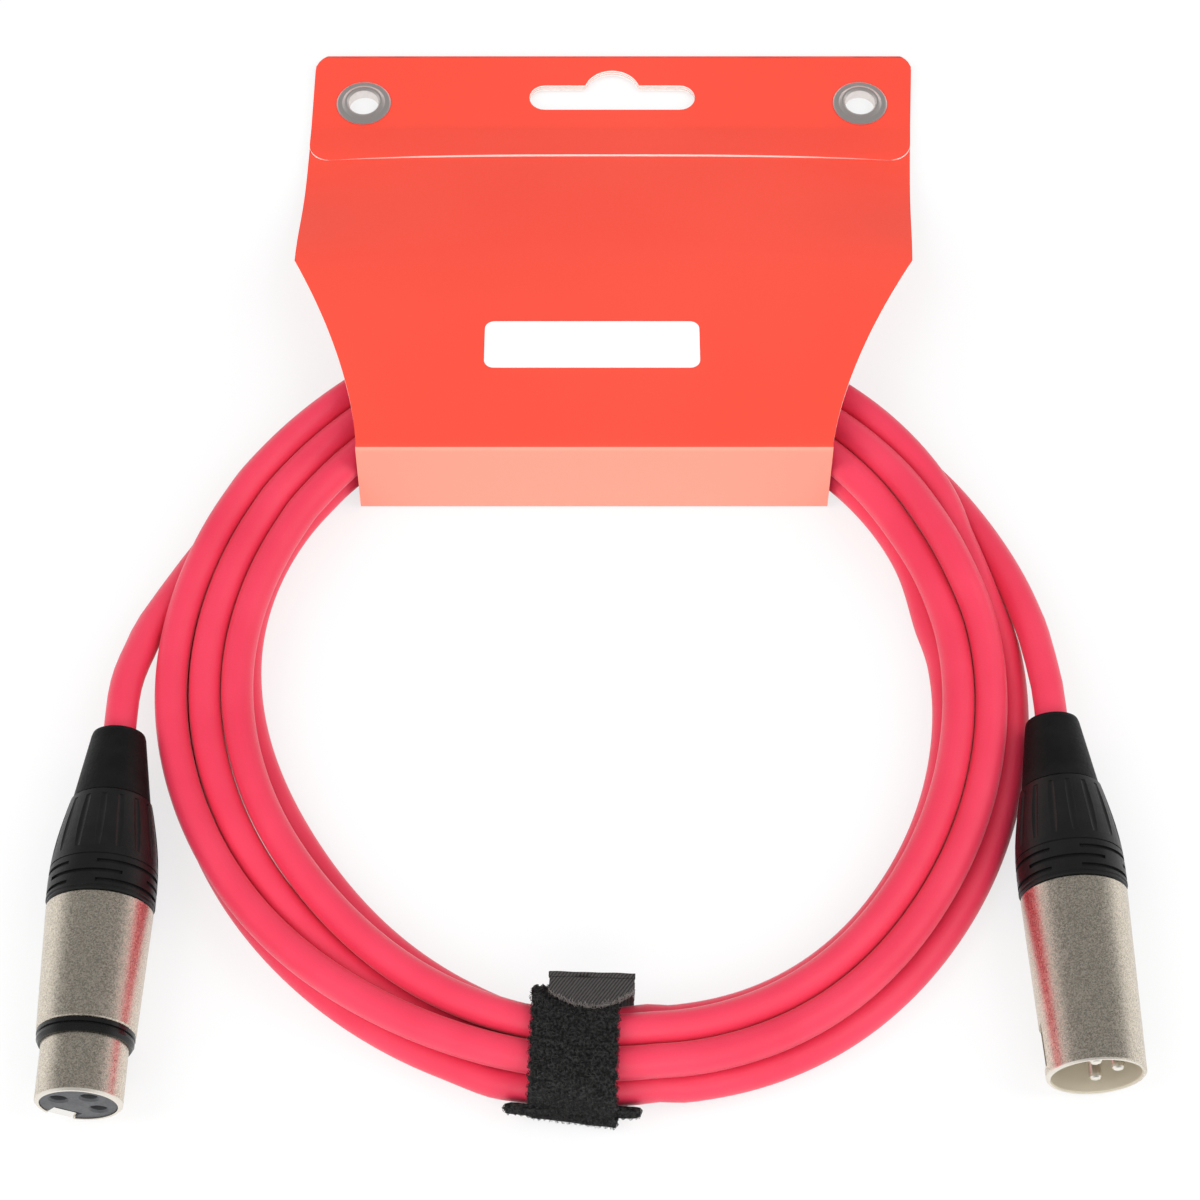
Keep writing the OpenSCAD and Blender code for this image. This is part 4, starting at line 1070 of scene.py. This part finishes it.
# %% Fibres
def fibre_mesh(name, lines, radius, *finishes):
    """Thin three-sided tubes along short lines. Each line is (points, finish index)."""
    verts, faces, picks = [], [], []
    for points, pick in lines:
        first = len(verts)
        for i, point in enumerate(points):
            ahead = points[min(i + 1, len(points) - 1)] - points[max(i - 1, 0)]
            side = ahead.orthogonal().normalized()
            up = ahead.cross(side).normalized()
            taper = radius * MM * (0.5 if i in (0, len(points) - 1) else 1.0)
            for angle in (0.0, 2.1, 4.2):
                verts.append(point + taper * (math.cos(angle) * side + math.sin(angle) * up))
        for i in range(len(points) - 1):
            for k in range(3):
                a, b = first + 3 * i + k, first + 3 * i + (k + 1) % 3
                faces.append((a, b, b + 3, a + 3))
                picks.append(pick)
    data = bpy.data.meshes.new(name)
    data.from_pydata(verts, [], faces)
    data.polygons.foreach_set("material_index", picks)
    for finish in finishes:
        data.materials.append(finish.material)
    piece = bpy.data.objects.new(name, data)
    bpy.context.scene.collection.objects.link(piece)
    return piece


# %% Fibres grown from a piece
def random_way():
    return Vector([chance.gauss(0, 1) for _ in range(3)]).normalized()


def bowed(spot, ahead, normal, length, rise):
    """Points of one fibre that leaves the surface, bows over and comes back to it."""
    up = normal + 0.35 * random_way()
    return [spot + length * (t - 0.5) * ahead + rise * math.sin(math.pi * t) * up for t in stretch(0, 1, 4)]


def fibres_on(piece, per_mm2, length, rise, highlight_share, keep):
    """Fibres all over the faces that keep() names. Lengths are in millimetres."""
    lines = []
    vertices = piece.data.vertices
    for polygon in piece.data.polygons:
        if not keep(polygon):
            continue
        corners = [vertices[i].co for i in polygon.vertices]
        for _ in range(int(polygon.area / MM**2 * per_mm2 + chance.random())):
            weights = [chance.random() for _ in corners]
            spot = sum((w * c for w, c in zip(weights, corners)), Vector()) / sum(weights)
            ahead = polygon.normal.cross(random_way()).normalized()
            size = chance.uniform(0.5, 1.5)
            # a share of the fibres gets the second finish, a grey that paints highlights on the loops
            lines.append((bowed(spot, ahead, polygon.normal, length * size * MM, rise * size * MM),
                          int(chance.random() < highlight_share)))
    return lines


loop_middle = strap_place((loop_in + loop_out) / 2, 0, loop_top / 2)


def outwards(polygon):
    """Only faces that look out of the loop carry pile, and none looks down onto the floor."""
    return polygon.normal.dot(polygon.center - loop_middle) > 0 and polygon.normal.z > -0.4


# %% The pile, and the frayed end
FIBRE_R = 0.04
HEM_THREADS = 520
FRAY_UP = 0.4  # the frayed threads bow outwards, and by this much upwards
# painted highlights: three in ten pile fibres are grey
lines = fibres_on(band, per_mm2=5.5, length=0.75, rise=0.35, highlight_share=0.3, keep=outwards)
lines += fibres_on(band_head, per_mm2=6.5, length=0.75, rise=0.3, highlight_share=0.3, keep=outwards)
fuzz = fibre_mesh("strap_pile", lines, FIBRE_R, pile, pile_highlight_grey)
fray_way = turned.to_3x3() @ Vector((1, 0, FRAY_UP))
hem = []
for _ in range(HEM_THREADS):
    sideways = chance.uniform(-1, 1) * TAB_W / 2
    radius = tab_end(sideways) - chance.uniform(0, 0.5)
    spot = strap_place(radius, TAB_SHIFT + sideways, TAB_Z + chance.uniform(-0.6, 0.2))
    ahead = random_way()
    length, rise = chance.uniform(0.4, 1.3) * MM, chance.uniform(0.1, 0.6) * MM
    hem.append((bowed(spot, ahead, fray_way, length, rise), 0))
fringe = fibre_mesh("strap_fringe", hem, FIBRE_R, thread_grey)
print("pile fibres:", len(lines), "threads in the hem:", len(hem))

# %% The strap's pieces on their bodies
for piece, body in ((band, "strap"), (band_head, "strap"), (under, "strap"), (fuzz, "strap"),
                    (loose_end, "strap_tab"), (fringe, "strap_tab")):
    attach(piece, body)
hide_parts("strap_band")
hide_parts("strap_tab")
print("triangles in the pile:", 2 * len(fuzz.data.polygons))

# %% [markdown]
# ## Stage
# A white floor, a white surround and three soft lamps, as in a product studio. Strong lamps would turn the
# floor white too, but they would bleach the red. So the lamps stay low, and Light Path lifts towards white what
# the camera and polished metal see of the floor.

# %% Floor
FLOOR_SIZE, FLOOR_GLOW = 6.0, 0.72  # half its side in metres, and the share of white that is mixed in
floor_finish = Finish("floor_white", (0.88, 0.88, 0.88), 0.9)
floor_tree = floor_finish.tree
glow = floor_tree.nodes.new("ShaderNodeEmission")
glow.inputs["Strength"].default_value = 1.0
light_path = floor_tree.nodes.new("ShaderNodeLightPath")
seen = floor_tree.nodes.new("ShaderNodeMath")
seen.operation = "MAXIMUM"
share_seen = floor_tree.nodes.new("ShaderNodeMath")
share_seen.operation = "MULTIPLY"
share_seen.inputs[1].default_value = FLOOR_GLOW
blend_in = floor_tree.nodes.new("ShaderNodeMixShader")
wire(floor_tree, light_path.outputs["Is Camera Ray"], seen.inputs[0])
wire(floor_tree, light_path.outputs["Is Glossy Ray"], seen.inputs[1])
wire(floor_tree, seen.outputs["Value"], share_seen.inputs[0])
wire(floor_tree, share_seen.outputs["Value"], blend_in.inputs["Fac"])
wire(floor_tree, floor_finish.shader.outputs["BSDF"], blend_in.inputs[1])
wire(floor_tree, glow.outputs["Emission"], blend_in.inputs[2])
wire(floor_tree, blend_in.outputs["Shader"], floor_tree.nodes["Material Output"].inputs["Surface"])
floor_mesh = bmesh.new()
bmesh.ops.create_grid(floor_mesh, x_segments=2, y_segments=2, size=FLOOR_SIZE)
floor = new_piece("floor", floor_mesh, floor_finish)
print("floor of", 2 * FLOOR_SIZE, "m")

# %% [markdown]
# ### World and lamps
# Polished metal shows what is round it, and an even white room leaves it flat. So mirror-like rays see a
# world that darkens from the horizon upwards, and don't see the lamps, while all other rays get an even
# light.

# %% World
SKY_LEVEL = 0.55  # what lights the object
MIRROR_FROM, MIRROR_TO = (0.08, 1.0), (0.45, 0.29)  # (height in the sky, strength), for mirror-like rays
world = bpy.data.worlds.new("studio")
world.use_nodes = True
sky = world.node_tree
background = sky.nodes["Background"]
background.inputs["Color"].default_value = (1.0, 1.0, 1.0, 1.0)
direction = sky.nodes.new("ShaderNodeTexCoord")
split_sky = sky.nodes.new("ShaderNodeSeparateXYZ")
ceiling = sky.nodes.new("ShaderNodeMapRange")
for end, (height, strength) in (("Min", MIRROR_FROM), ("Max", MIRROR_TO)):
    ceiling.inputs["From " + end].default_value = height
    ceiling.inputs["To " + end].default_value = strength
mirror_path = sky.nodes.new("ShaderNodeLightPath")
choose = sky.nodes.new("ShaderNodeMix")
choose.inputs["A"].default_value = SKY_LEVEL
wire(sky, direction.outputs["Generated"], split_sky.inputs["Vector"])
wire(sky, split_sky.outputs["Z"], ceiling.inputs["Value"])
wire(sky, mirror_path.outputs["Is Glossy Ray"], choose.inputs["Factor"])
wire(sky, ceiling.outputs["Result"], choose.inputs["B"])
wire(sky, choose.outputs["Result"], background.inputs["Strength"])
bpy.context.scene.world = world
bpy.context.scene.view_settings.view_transform = "Standard"
print("world:", world.name, "at", SKY_LEVEL)

# %% Lamps
def soft_lamp(name, place, width, height, power):
    """A rectangular lamp that looks at the middle of the object and that mirrors don't show."""
    data = bpy.data.lights.new(name, "AREA")
    data.shape = "RECTANGLE"
    data.size = width
    data.size_y = height
    data.energy = power
    lamp = bpy.data.objects.new(name, data)
    bpy.context.scene.collection.objects.link(lamp)
    lamp.location = place
    lamp.rotation_euler = (Vector((0, 0, 0)) - Vector(place)).to_track_quat("-Z", "Y").to_euler()
    lamp.visible_glossy = False


soft_lamp("lamp_left", (-0.9, -0.2, 0.9), 0.7, 1.2, 7.0)
soft_lamp("lamp_right", (0.9, -0.1, 0.9), 0.7, 1.2, 7.0)
soft_lamp("lamp_front", (0.0, -0.9, 0.7), 1.2, 0.6, 6.0)
print("lamps:", len(bpy.data.lights))
